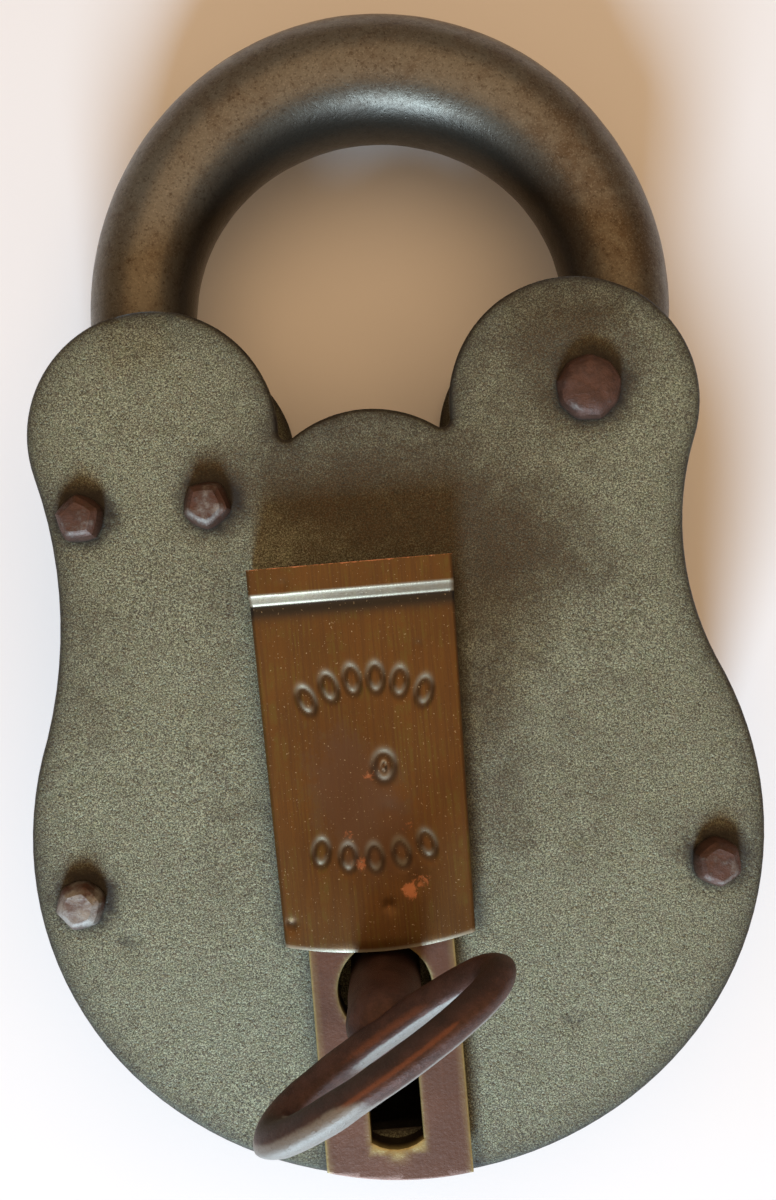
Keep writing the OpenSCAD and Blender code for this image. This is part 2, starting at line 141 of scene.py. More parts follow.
class PADLOCK_PG_colours(bpy.types.PropertyGroup):
    steel: colour("Case steel", "Grey-green steel of the plates", 114, 118, 99)
    rust: colour("Rust", "Brown rust on the plates", 74, 54, 30)
    # the grime colour is also the colour of the painted shade and shadows on every finish
    shade_and_grime: colour("Grime", "Black grime along edges", 38, 33, 27)
    shackle: colour("Shackle steel", "Brown-grey steel of the shackle", 96, 92, 82)
    rivet: colour("Rivet rust", "Red-brown rust of the rivets", 78, 52, 42)
    brass: colour("Track brass", "Dull brass of the keyhole plate", 100, 70, 57)
    cover: colour("Cover brass", "Brown-gold brass of the cover", 94, 63, 24)
    tarnish: colour("Tarnish", "Dull brown tarnish of the cover", 96, 68, 46)
    key: colour("Key iron", "Dark red-brown iron of the key", 74, 50, 43)
    # bare steel is also the colour of painted highlights on the rivets and the key
    bare_and_highlight: colour("Bare steel", "Bright worn steel", 168, 166, 160)
    inner: colour("Inner steel", "Plain steel of the inner works", 92, 86, 78)


# ---------------------------------------------------------------- shader building

class Value:
    """A socket's output; the usual operators on it add Math nodes."""

    def __init__(self, finish, socket):
        self.finish, self.socket = finish, socket

    def math(self, operation, *operands, clamp=False):
        node = self.finish.add("ShaderNodeMath", {"operation": operation, "use_clamp": clamp},
                               dict(enumerate(operands)))
        return Value(self.finish, node.outputs[0])

    def __add__(self, other):
        return self.math("ADD", self, other)

    def __radd__(self, other):
        return self.math("ADD", other, self)

    def __sub__(self, other):
        return self.math("SUBTRACT", self, other)

    def __rsub__(self, other):
        return self.math("SUBTRACT", other, self)

    def __mul__(self, other):
        return self.math("MULTIPLY", self, other)

    def __rmul__(self, other):
        return self.math("MULTIPLY", other, self)

    def __truediv__(self, other):
        return self.math("DIVIDE", self, other)

    def __rtruediv__(self, other):
        return self.math("DIVIDE", other, self)

    def __pow__(self, other):
        return self.math("POWER", self, other)

    def __neg__(self):
        return self.math("MULTIPLY", self, -1.0)

    def __abs__(self):
        return self.math("ABSOLUTE", self)

    def least(self, other):
        return self.math("MINIMUM", self, other)

    def limited(self):
        return self.math("ADD", self, 0.0, clamp=True)

    def between(self, low, high):
        """0 below low, 1 above high, and smooth in between."""
        node = self.finish.add("ShaderNodeMapRange", {"interpolation_type": "SMOOTHSTEP"},
                               {0: self, 1: low, 2: high, 3: 0.0, 4: 1.0})
        return Value(self.finish, node.outputs[0])


class Finish:
    """A material on a Principled shader, with the nodes that vary it over the surface."""

    def __init__(self, name):
        self.material = bpy.data.materials.new(name)
        self.material.use_nodes = True
        self.tree = self.material.node_tree
        self.tree.nodes.clear()
        self.shader = self.add("ShaderNodeBsdfPrincipled")
        output = self.add("ShaderNodeOutputMaterial")
        self.tree.links.new(self.shader.outputs[0], output.inputs["Surface"])
        self.place = Value(self, self.add("ShaderNodeTexCoord").outputs["Object"])
        self.mm = self.scaled(1 / MM)

    def add(self, kind, settings=None, values=None):
        node = self.tree.nodes.new(kind)
        for key, setting in (settings or {}).items():
            setattr(node, key, setting)
        for key, value in (values or {}).items():
            self.feed(node.inputs[key], value)
        return node

    def feed(self, socket, value):
        if isinstance(value, Value):
            self.tree.links.new(value.socket, socket)
        else:
            socket.default_value = value

    def set(self, **values):
        """Feeds the shader's sockets, named with underscores for spaces."""
        for key, value in values.items():
            self.feed(self.shader.inputs[key.replace("_", " ")], value)

    def scaled(self, x, y=None, z=None):
        """Object coordinates, stretched by a factor along each axis."""
        factors = (x, x if y is None else y, x if z is None else z)
        node = self.add("ShaderNodeVectorMath", {"operation": "MULTIPLY"},
                        {0: self.place, 1: factors})
        return Value(self, node.outputs[0])

    def noise(self, scale, detail, roughness, place=None, distortion=0.0):
        """Cloudy noise round 0.5, with a scale in waves to the millimetre."""
        node = self.add("ShaderNodeTexNoise", None, {
            "Vector": place or self.mm, "Scale": scale, "Detail": detail,
            "Roughness": roughness, "Distortion": distortion})
        return Value(self, node.outputs[0])

    def cells(self, scale):
        """Distance to the nearest of many scattered points."""
        node = self.add("ShaderNodeTexVoronoi", None, {"Vector": self.mm, "Scale": scale})
        return Value(self, node.outputs["Distance"])

    def painted(self, name):
        """A value painted on the mesh's points."""
        node = self.add("ShaderNodeAttribute", {"attribute_name": name})
        return Value(self, node.outputs["Fac"])

    def mix(self, factor, first, second):
        """The first colour where the factor is 0, and the second where it is 1."""
        node = self.add("ShaderNodeMix", {"data_type": "RGBA", "blend_type": "MIX"},
                        {0: factor, 6: first, 7: second})
        return Value(self, node.outputs[2])

    def bump(self, height, distance, strength):
        """A normal for small bumps, which height lifts by up to distance in millimetres."""
        node = self.add("ShaderNodeBump", None, {
            "Height": height, "Distance": distance * MM, "Strength": strength})
        return Value(self, node.outputs[0])


def tone(base, factor):
    """A lighter or darker shade of a colour."""
    return tuple(min(1.0, c * factor) for c in base[:3]) + (1.0,)


def blend_tones(first, second, share):
    """The colour that lies the given share of the way from the first to the second."""
    return tuple(a + (b - a) * share for a, b in zip(first, second))


def pitted_steel(name, base, rust, shade_and_grime, rusty=0.0):
    """Old steel: grey-green metal under brown rust, with dark pits and pale specks, and grime and
    painted shade where the points are painted dark.
    """
    f = Finish(name)
    wide = f.noise(0.055, 3, 0.55)
    cloud = f.noise(0.33, 5, 0.62, distortion=0.4)
    fleck = f.noise(1.6, 6, 0.78)
    hue = f.noise(2.4, 4, 0.7, f.scaled(1.07 / MM, 0.93 / MM, 1 / MM))
    grit = f.noise(7.5, 3, 0.8, distortion=0.5)
    dark = f.noise(6.3, 4, 0.8, f.scaled(0.91 / MM, 1.11 / MM, 1 / MM), 0.6)
    tint = f.noise(1.1, 4, 0.7, f.scaled(1.2 / MM, 0.8 / MM, 1 / MM), 0.5)
    pit = f.cells(1.9)
    brown = (f.painted("rust") + (wide - 0.5) * 0.9 + (cloud - 0.5) * 1.1 + (hue - 0.5) * 0.5
             + rusty).between(0.0, 1.1)
    ground = f.mix(wide.between(0.35, 0.65), tone(base, 1.06), blend_tones(base, rust, 0.2))
    ground = f.mix(hue.between(0.44, 0.58), ground, blend_tones(tone(base, 0.98), rust, 0.3))
    ground = f.mix(tint.between(0.5, 0.62) * 0.3, ground, srgb(112, 92, 84))
    ground = f.mix(tint.between(0.48, 0.38) * 0.35, ground, srgb(104, 118, 84))
    skin = f.mix(brown * 0.94, ground, rust)
    skin = f.mix(dark.between(0.45, 0.57) * 0.95, skin, tone(blend_tones(base, rust, 0.6), 0.3))
    skin = f.mix(fleck.between(0.5, 0.64) * 0.6, skin, tone(blend_tones(base, rust, 0.55), 0.4))
    blot = f.noise(0.8, 5, 0.7, distortion=0.7)
    skin = f.mix(blot.between(0.5, 0.66) * 0.42, skin, tone(blend_tones(base, rust, 0.7), 0.45))
    pale = grit.between(0.47, 0.62) * (1.0 - brown * 0.8)
    skin = f.mix(pale, skin, tone(base, 2.3))
    skin = f.mix((0.25 - pit).between(0.0, 0.2) * 0.4, skin, tone(rust, 0.42))
    # grime and painted shade: painted shadows beside the rivets, the cover and the keyhole plate,
    # and painted shade in the keyhole
    shade_and_grime_mask = (f.painted("edge") * (0.75 + cloud * 0.6)).limited()
    skin = f.mix(shade_and_grime_mask, skin, shade_and_grime)
    height = fleck * -0.55 + grit * 0.3 + cloud * 0.7 + pit.least(0.3) * 0.9
    f.set(Base_Color=skin, Metallic=0.35,
          Roughness=(0.42 + fleck * 0.22 + brown * 0.12).limited(),
          Normal=f.bump(height, 0.16, 0.85))
    return f.material


def smooth_shackle_steel(name, base, rust, shade_and_grime):
    """Forged bar: worn smooth and brown-grey, with fine pits and faint handling marks."""
    f = Finish(name)
    wide = f.noise(0.07, 3, 0.5)
    cloud = f.noise(0.5, 5, 0.65, distortion=0.5)
    fleck = f.noise(2.1, 6, 0.75)
    grit = f.noise(5.2, 3, 0.75)
    pit = f.cells(2.4)
    brown = ((cloud - 0.5) * 1.6 + (wide - 0.5) * 1.4 + f.painted("rust") + 0.3).between(0.05, 1.0)
    skin = f.mix(brown, tone(base, 1.12), blend_tones(base, rust, 0.7))
    skin = f.mix(fleck.between(0.5, 0.66) * 0.6, skin, tone(rust, 0.45))
    skin = f.mix(grit.between(0.5, 0.68) * 0.5, skin, tone(base, 1.9))
    skin = f.mix((0.24 - pit).between(0.0, 0.18) * 0.5, skin, tone(rust, 0.4))
    # grime and painted shade: the bar's inner side and the part inside the case are painted dark
    skin = f.mix(f.painted("edge"), skin, shade_and_grime)
    height = cloud * 0.6 - fleck * 0.5 + pit.least(0.25) * 0.8
    f.set(Base_Color=skin, Metallic=0.65, Roughness=(0.24 + fleck * 0.16 + brown * 0.1).limited(),
          Normal=f.bump(height, 0.1, 0.5))
    return f.material


def rivet_finish(name, base, bare_and_highlight, shade_and_grime):
    """Hammered rivet: red-brown rust with bare, paler steel on its high spots, and a painted
    highlight along the lower edge of its head.
    """
    f = Finish(name)
    cloud = f.noise(0.9, 5, 0.7)
    fleck = f.noise(3.2, 5, 0.75)
    # bare steel where worn, and the painted highlight along the head's lower edge
    worn = (f.painted("wear") + (cloud - 0.5) * 1.1).between(0.35, 0.95)
    skin = f.mix(cloud.between(0.35, 0.65), tone(base, 1.15), tone(base, 0.7))
    skin = f.mix(worn * 0.75, skin, bare_and_highlight)
    skin = f.mix(fleck.between(0.55, 0.7) * 0.6, skin, tone(base, 0.4))
    skin = f.mix(f.painted("edge"), skin, shade_and_grime)
    f.set(Base_Color=skin, Metallic=0.35, Roughness=(0.4 + fleck * 0.25).limited(),
          Normal=f.bump(cloud + fleck * 0.5, 0.14, 0.8))
    return f.material


def track_brass(name, base, bare_and_highlight, shade_and_grime):
    """Dull keyhole brass: brown with wiped paler patches and bright edges."""
    f = Finish(name)
    wide = f.noise(0.12, 3, 0.5)
    cloud = f.noise(0.8, 5, 0.65)
    fleck = f.noise(3.6, 4, 0.7)
    drawn = f.noise(1.0, 4, 0.6, f.scaled(3.2 / MM, 0.16 / MM, 1 / MM))
    skin = f.mix(wide.between(0.35, 0.65), base, tone(base, 0.78))
    skin = f.mix(cloud.between(0.5, 0.75) * 0.5, skin, tone(base, 0.62))
    skin = f.mix(drawn.between(0.55, 0.75) * 0.25, skin, tone(base, 1.35))
    skin = f.mix(fleck.between(0.57, 0.7) * 0.45, skin, tone(base, 0.45))
    skin = f.mix((f.painted("wear") * (0.6 + cloud * 0.7)).limited(), skin, bare_and_highlight)
    # painted shade on the foot under the overhanging top
    skin = f.mix(f.painted("edge"), skin, shade_and_grime)
    f.set(Base_Color=skin, Metallic=0.5, Roughness=(0.36 + cloud * 0.2).limited(),
          Normal=f.bump(cloud * 0.6 + fleck * 0.5 + drawn * 0.3, 0.08, 0.7))
    return f.material


def cover_finish(name, base, tarnish, shade_and_grime):
    """Rolled brass: brown-gold with lengthwise brushing, a tarnished patch and copper scars, with
    painted highlights and painted shade.
    """
    f = Finish(name)
    wide = f.noise(0.1, 3, 0.5)
    cloud = f.noise(0.55, 5, 0.7)
    fleck = f.noise(3.4, 5, 0.75)
    brushed = f.noise(1.0, 5, 0.65, f.scaled(4.2 / MM, 0.11 / MM, 1 / MM))
    scratch = f.noise(1.0, 2, 0.5, f.scaled(9.0 / MM, 0.35 / MM, 1 / MM), 1.2)
    gold = f.mix(wide.between(0.3, 0.7), tone(base, 1.12), tone(base, 0.84))
    gold = f.mix(brushed.between(0.4, 0.66) * 0.6, gold, blend_tones(tone(base, 0.6), tarnish, 0.2))
    olive = (1.0 - brushed).between(0.45, 0.62) * cloud.between(0.42, 0.6)
    gold = f.mix(olive * 0.45, gold, srgb(92, 84, 34))
    gold = f.mix(scratch.between(0.66, 0.76) * 0.4, gold, tone(base, 1.7))
    gold = f.mix(fleck.between(0.58, 0.72) * 0.55, gold, tone(base, 0.42))
    patch = (f.painted("tarnish") + (cloud - 0.5) * 1.1 + (fleck - 0.5) * 0.5).between(0.25, 0.75)
    skin = f.mix(patch * 0.75, gold, tarnish)
    ragged = f.noise(1.3, 5, 0.75, distortion=0.8)
    scar = (f.painted("copper") + (ragged - 0.5) * 2.2).between(0.5, 0.85)
    # copper scars, and a painted highlight along the top edge in the same copper colour
    skin = f.mix(scar * f.painted("copper").between(0.05, 0.4), skin, srgb(164, 106, 70))
    spark = f.noise(5.5, 2, 0.5)
    # painted highlight in pale brass: the lip's step, the lower edge and the upper walls of the
    # punched marks
    skin = f.mix(f.painted("wear") * (0.7 + cloud * 0.5), skin, srgb(198, 198, 180))
    # painted shade below the step, in the punched marks and under the sheet, and a dark spot in one
    # dent
    skin = f.mix(f.painted("edge"), skin, shade_and_grime)
    skin = f.mix(spark.between(0.68, 0.74) * 0.55, skin, srgb(190, 178, 148))
    f.set(Base_Color=skin, Metallic=0.55, Roughness=(0.34 + cloud * 0.12 + patch * 0.14).limited(),
          Normal=f.bump(brushed * 0.35 + fleck * 0.4 + scratch * 0.2, 0.06, 0.6))
    return f.material


def key_finish(name, base, bare_and_highlight, shade_and_grime):
    """Key iron: dark red-brown rust worn to silver along its ridges, the silver partly a painted
    highlight on the side toward the lamp, and painted shade on the top bar's far face.
    """
    f = Finish(name)
    cloud = f.noise(0.7, 5, 0.7)
    fleck = f.noise(2.6, 6, 0.78)
    grit = f.noise(7.0, 3, 0.7)
    worn = f.painted("wear") * 1.25 + (fleck - 0.5) * 0.9 + (cloud - 0.5) * 0.5
    worn = worn.between(0.35, 0.95)
    orange = (f.painted("rust") + (fleck - 0.5) * 0.8).between(0.3, 0.9)
    skin = f.mix(cloud.between(0.35, 0.65), tone(base, 1.35), tone(base, 0.75))
    skin = f.mix(grit.between(0.52, 0.72) * 0.5, skin, tone(base, 2.2))
    skin = f.mix(orange * 0.6, skin, srgb(146, 90, 62))
    # worn silver, partly painted highlight on the side toward the lamp
    skin = f.mix(worn * 0.85, skin, bare_and_highlight)
    skin = f.mix(fleck.between(0.55, 0.7) * 0.55, skin, tone(base, 0.4))
    # painted shade on the top bar's face turned from the lamp
    skin = f.mix(f.painted("edge"), skin, shade_and_grime)
    f.set(Base_Color=skin, Metallic=0.4, Roughness=(0.38 + grit * 0.2).limited(),
          Normal=f.bump(cloud * 0.5 + fleck * 0.7 + grit * 0.3, 0.13, 0.8))
    return f.material


def inner_finish(name, base, shade=1.0):
    """Plain machined steel of the hidden works, a little dusty and stained."""
    f = Finish(name)
    cloud = f.noise(0.4, 4, 0.6)
    fleck = f.noise(2.5, 4, 0.7)
    skin = f.mix(cloud.between(0.35, 0.7), tone(base, 1.1 * shade), tone(base, 0.72 * shade))
    skin = f.mix(fleck.between(0.56, 0.7) * 0.5, skin, tone(base, 0.4))
    f.set(Base_Color=skin, Metallic=0.6, Roughness=(0.4 + cloud * 0.2).limited(),
          Normal=f.bump(cloud + fleck * 0.4, 0.06, 0.6))
    return f.material


FINISHES = {}


def finish(name):
    """One of the padlock's finishes, made when it is first asked for."""
    if name not in FINISHES:
        c = bpy.context.scene.padlock_colours
        makers = {
            "case_steel": lambda: pitted_steel(name, c.steel, c.rust, c.shade_and_grime),
            "back_steel": lambda: pitted_steel(name, c.steel, c.rust, c.shade_and_grime, rusty=0.25),
            "rim_steel": lambda: pitted_steel(name, tone(c.steel, 0.8), c.rust, c.shade_and_grime, rusty=0.35),
            "shackle_steel": lambda: smooth_shackle_steel(name, c.shackle, c.rust, c.shade_and_grime),
            "rivet_steel": lambda: rivet_finish(name, c.rivet, c.bare_and_highlight, c.shade_and_grime),
            "brass": lambda: track_brass(name, c.brass, srgb(186, 172, 112), c.shade_and_grime),
            "cover_brass": lambda: cover_finish(name, c.cover, c.tarnish, c.shade_and_grime),
            "key_iron": lambda: key_finish(name, c.key, tone(c.bare_and_highlight, 0.72), c.shade_and_grime),
            "inner_steel": lambda: inner_finish(name, c.inner),
            "spring_steel": lambda: inner_finish(name, c.inner, 0.7),
        }
        FINISHES[name] = makers[name]()
    return FINISHES[name]


# ---------------------------------------------------------------- mesh helpers

def wave(x, y, z=0.0, size=10.0, seed=0.0):
    """Smooth noise from -1 to 1 at a place in millimetres, with bumps about as wide as size."""
    return noise.noise(Vector((x / size + seed, y / size - seed * 0.7, z / size + 11.3)))


def bell(distance, width):
    """1 at no distance, falling smoothly to nearly 0 at twice the width."""
    return math.exp(-(distance / width) ** 2)


def span(value, low, high):
    """0 below low, 1 above high, and even in between."""
    return min(1.0, max(0.0, (value - low) / (high - low)))


def add_piece(name, bm, body, material, replaced, paint=None, sharp=35.0):
    """Makes an object from a mesh in millimetres. paint gives each point's painted values."""
    bmesh.ops.recalc_face_normals(bm, faces=bm.faces[:])
    names = []
    if paint:
        points = [v.co.copy() for v in bm.verts]
        values = [paint(p) for p in points]
        names = sorted(values[0])
    for face in bm.faces:
        face.smooth = True
    limit = math.radians(sharp)
    for edge in bm.edges:
        edge.smooth = len(edge.link_faces) == 2 and edge.calc_face_angle(math.pi) < limit
    bmesh.ops.scale(bm, verts=bm.verts[:], vec=(MM, MM, MM))
    mesh = bpy.data.meshes.new(name)
    bm.to_mesh(mesh)
    bm.free()
    for key in names:
        layer = mesh.attributes.new(key, "FLOAT", "POINT")
        layer.data.foreach_set("value", [max(0.0, min(1.0, v[key])) for v in values])
    mesh.materials.append(material)
    piece = bpy.data.objects.new(name, mesh)
    bpy.context.scene.collection.objects.link(piece)
    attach(piece, body)
    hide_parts(*replaced)
    return piece


def polar(degrees, radius=1.0):
    """The point in that direction from the origin, anticlockwise from +X."""
    a = math.radians(degrees)
    return Vector((math.cos(a) * radius, math.sin(a) * radius))


def angle_of(v):
    """A point's direction from the origin, in degrees anticlockwise from +X."""
    return math.degrees(math.atan2(v.y, v.x))


def new_points(made, key="geom"):
    """The points among what an operator made."""
    return [g for g in made[key] if isinstance(g, bmesh.types.BMVert)]


def sweep(bm, vertex, centre, degrees, step=3.0):
    """Carries a chain of edges on round a centre, and gives its new last point."""
    steps = max(2, round(abs(degrees) / step))
    made = bmesh.ops.spin(bm, geom=[vertex], cent=(centre.x, centre.y, vertex.co.z),
                          axis=(0, 0, 1), angle=math.radians(degrees), steps=steps,
                          use_merge=False, use_duplicate=False)
    return new_points(made, "geom_last")[0]


def spin_profile(bm, profile, steps):
    """Spins a profile of (radius, height) points round the upright axis, with closed poles."""
    line = [bm.verts.new((r, 0, z)) for r, z in profile]
    line += [bm.edges.new((a, b)) for a, b in zip(line, line[1:])]
    bmesh.ops.spin(bm, geom=line, cent=(0, 0, 0), axis=(0, 0, 1), angle=math.tau, steps=steps,
                   use_merge=True, use_duplicate=False)
    poles = [v for v in bm.verts if math.hypot(v.co.x, v.co.y) < 0.01]
    bmesh.ops.remove_doubles(bm, verts=poles, dist=1e-3)


def meeting(a, ra, b, rb):
    """Where two circles meet, to the right of the line from b to a."""
    d = (a - b).length
    u = (a - b) / d
    along = (rb * rb - ra * ra + d * d) / (2 * d)
    off = math.sqrt(rb * rb - along * along)
    return b + u * along + Vector((u.y, -u.x)) * off


def trace_half(bm, start, inset, waist_r, side):
    """Draws one side of the case's outline from its lowest point. side is 1 right, -1 left."""
    s = bpy.context.scene.padlock_case
    body_r, ear_r = s.body_radius / MM, s.ear_radius / MM
    notch_r, bump_r = s.notch_radius / MM, s.bump_radius / MM
    body = Vector((0, 0))
    ear = Vector((s.ear_across / MM, s.ear_height / MM))
    bump = Vector((0, (s.bump_top - s.bump_radius) / MM))
    waist = meeting(ear, ear_r + waist_r, body, body_r + waist_r)
    notch = meeting(bump, bump_r + notch_r, ear, ear_r + notch_r)
    low, high = angle_of(waist - body), angle_of(waist - ear)
    to_notch, from_bump = angle_of(notch - ear) + 360, angle_of(notch - bump)
    before = set(bm.verts)
    last = sweep(bm, start, body, side * (low + 90))
    for v in [v for v in bm.verts if v not in before]:
        share = (angle_of(Vector((side * v.co.x, v.co.y))) + 90) / (low + 90)
        v.co.xy *= 1 - s.body_flat / MM * math.cos(math.radians(270 * share)) / v.co.xy.length
    for centre, degrees, step in ((waist, high - low, 3), (ear, to_notch - high, 4),
                                  (notch, from_bump - to_notch, 15), (bump, 90 - from_bump, 4)):
        last = sweep(bm, last, Vector((side * centre.x, centre.y)), side * degrees, step)
    return last


def trace_case(bm, inset, z):
    """Draws the case's closed outline at a height, in from the edge by inset. Gives its edges."""
    s = bpy.context.scene.padlock_case
    before = set(bm.edges)
    start = bm.verts.new((0, -(s.body_radius / MM - inset), z))
    ends = [trace_half(bm, start, inset, s.waist_radius / MM, 1),
            trace_half(bm, start, inset, s.waist_left / MM, -1)]
    start.co.y += s.body_flat / MM
    bmesh.ops.remove_doubles(bm, verts=ends, dist=0.05)
    return [e for e in bm.edges if e not in before]


def cut(bm, axis, limit, faces=None):
    """Cuts the faces, or the whole mesh, along the upright plane where axis 0 or 1 is limit."""
    if faces is None:
        geom = bm.verts[:] + bm.edges[:] + bm.faces[:]
    else:
        geom = list({g for f in faces for g in (f, *f.edges, *f.verts)})
    at, normal = [0, 0, 0], [0, 0, 0]
    at[axis], normal[axis] = limit, 1
    bmesh.ops.bisect_plane(bm, geom=geom, dist=1e-5, plane_co=at, plane_no=normal)


def drop_faces(bm, faces, test):
    """Deletes those of the faces whose middle passes the test."""
    gone = [f for f in faces if test(f.calc_center_median())]
    bmesh.ops.delete(bm, geom=gone, context="FACES")


def grid_cut(bm, low, high, cell):
    """Cuts the whole mesh along a grid of upright planes."""
    for axis in (0, 1):
        count = int((high[axis] - low[axis]) / cell)
        for i in range(1, count + 1):
            cut(bm, axis, low[axis] + (high[axis] - low[axis]) * (i - 0.5) / count)


def cut_box(bm, low, high):
    """Opens a square hole through a plate's two faces."""
    for axis in (0, 1):
        for limit in (low, high):
            cut(bm, axis, limit[axis])
    drop_faces(bm, bm.faces, lambda c: low[0] < c.x < high[0] and low[1] < c.y < high[1])


def wall_cut_edges(bm, high, low):
    """Carries the top face's open edges down to the bottom face's, as a hole's walls."""
    rims = [e for e in bm.edges
            if e.is_boundary and all(abs(v.co.z - high) < 1e-3 for v in e.verts)]
    made = bmesh.ops.extrude_edge_only(bm, edges=rims)
    bmesh.ops.translate(bm, vec=(0, 0, low - high), verts=new_points(made))
    bmesh.ops.remove_doubles(bm, verts=bm.verts[:], dist=1e-3)
    bmesh.ops.recalc_face_normals(bm, faces=bm.faces[:])


def raise_faces(bm, faces, rise):
    """Raises flat faces into a slab."""
    made = bmesh.ops.extrude_face_region(bm, geom=faces)
    bmesh.ops.translate(bm, vec=(0, 0, rise), verts=new_points(made))


def raised_loop_slab(bm, edges, rise):
    """Fills a closed outline and raises it into a slab."""
    made = bmesh.ops.triangle_fill(bm, use_beauty=True, use_dissolve=False, edges=edges,
                                   normal=(0, 0, 1))
    raise_faces(bm, [g for g in made["geom"] if isinstance(g, bmesh.types.BMFace)], rise)


def flat_faces_joined(bm):
    """Joins neighbouring faces that lie in one plane."""
    bmesh.ops.dissolve_limit(bm, angle_limit=math.radians(0.5), verts=bm.verts[:],
                             edges=bm.edges[:], use_dissolve_boundaries=False)


def bevel_edges(bm, edges, offset, segments):
    """Rounds the edges off."""
    bmesh.ops.bevel(bm, geom=edges, offset=offset, offset_type="OFFSET", segments=segments,
                    profile=0.5, affect="EDGES", material=-1)


def bevel_where(bm, test, offset, segments):
    """Rounds off those edges between two faces that pass the test."""
    edges = [e for e in bm.edges if len(e.link_faces) == 2 and test(e)]
    bmesh.ops.bevel(bm, geom=edges, offset=offset, offset_type="OFFSET", segments=segments,
                    profile=0.5, affect="EDGES", clamp_overlap=True, material=-1)


def rim_edge(z):
    """A test for the sharp edges that lie at one height."""
    def test(e):
        return (all(abs(v.co.z - z) < 1e-3 for v in e.verts)
                and e.calc_face_angle(0) > math.radians(50))
    return test


# ---------------------------------------------------------------- case plates and side strips

RIVET_NODES = ["upper_rivet_outer", "upper_rivet_inner", "lower_rivet_left",
               "lower_rivet_right", "shackle_rivet"]


def head_place(node):
    """The middle of a round node, such as a rivet's head, and its radius."""
    low, high = box_mm(node)
    return Vector(((low.x + high.x) / 2, (low.y + high.y) / 2)), (high.x - low.x) / 2


HEADS = {node: head_place(node) for node in RIVET_NODES}


def facet(x, y, side):
    """How deep the hammered facet on an ear's shoulder lies at a point."""
    ear = Vector((side * EAR_X, EAR_Y))
    if side > 0:
        line, lean, reach = 6.9, -0.05, (12.7, 24.8)
    else:
        line, lean, reach = 6.4, 0.2, (-22.4, -15.4)
    beyond = (y - ear.y) - line - lean * (x - ear.x)
    if beyond <= 0:
        return 0.0
    ends = min(1.0, max(0.0, (x - reach[0]) / 1.2)) * min(1.0, max(0.0, (reach[1] - x) / 1.2))
    return (0.1 * min(1.0, beyond / 0.2) + 0.17 * beyond) * ends


DENTS = [  # x, y, radius, depth
    (15.3, -1.9, 0.5, 0.22), (-24.2, -8.4, 0.7, 0.2), (14.0, -18.4, 0.55, 0.22),
    (8.0, 17.0, 0.5, 0.12), (-9.5, 26.5, 0.6, 0.1), (24.0, 12.0, 0.6, 0.1),
    (-27.5, 6.0, 0.6, 0.12), (20.5, -15.0, 0.7, 0.1), (-17.0, -21.0, 0.6, 0.1),
]


HOLE_LOW = box_mm("keyhole_plate")[0].y + 3.4    # end of the slot through the front plate
SLOT_ROOM = 2.5                                  # half width of the plate's hole at the slot
KEYHOLE_ROOM = 4.3                               # and at the round of the keyhole
TRACK_HALF = 4.6                                 # half width of the keyhole plate's foot
COVER_HALF = 8.6                                 # about half the sliding cover's width
COVER_SPAN = -9.5, 21.6                          # about where it ends, below and above


def plate_dip(x, y):
    """How far the front face lies below flat at a point: wear, dents and dished rivets."""
    dip = 0.05 + 0.05 * wave(x, y, size=9) + 0.03 * wave(x, y, size=3.1, seed=4)
    dip += facet(x, y, 1 if x > 0 else -1)
    for cx, cy, r, depth in DENTS:
        dip += depth * bell(math.hypot(x - cx, y - cy), r)
    for node in RIVET_NODES:
        c, r = HEADS[node]
        dip += 0.12 * bell(math.hypot(x - c.x, y - c.y) - r, 0.9)
    return max(0.0, dip)


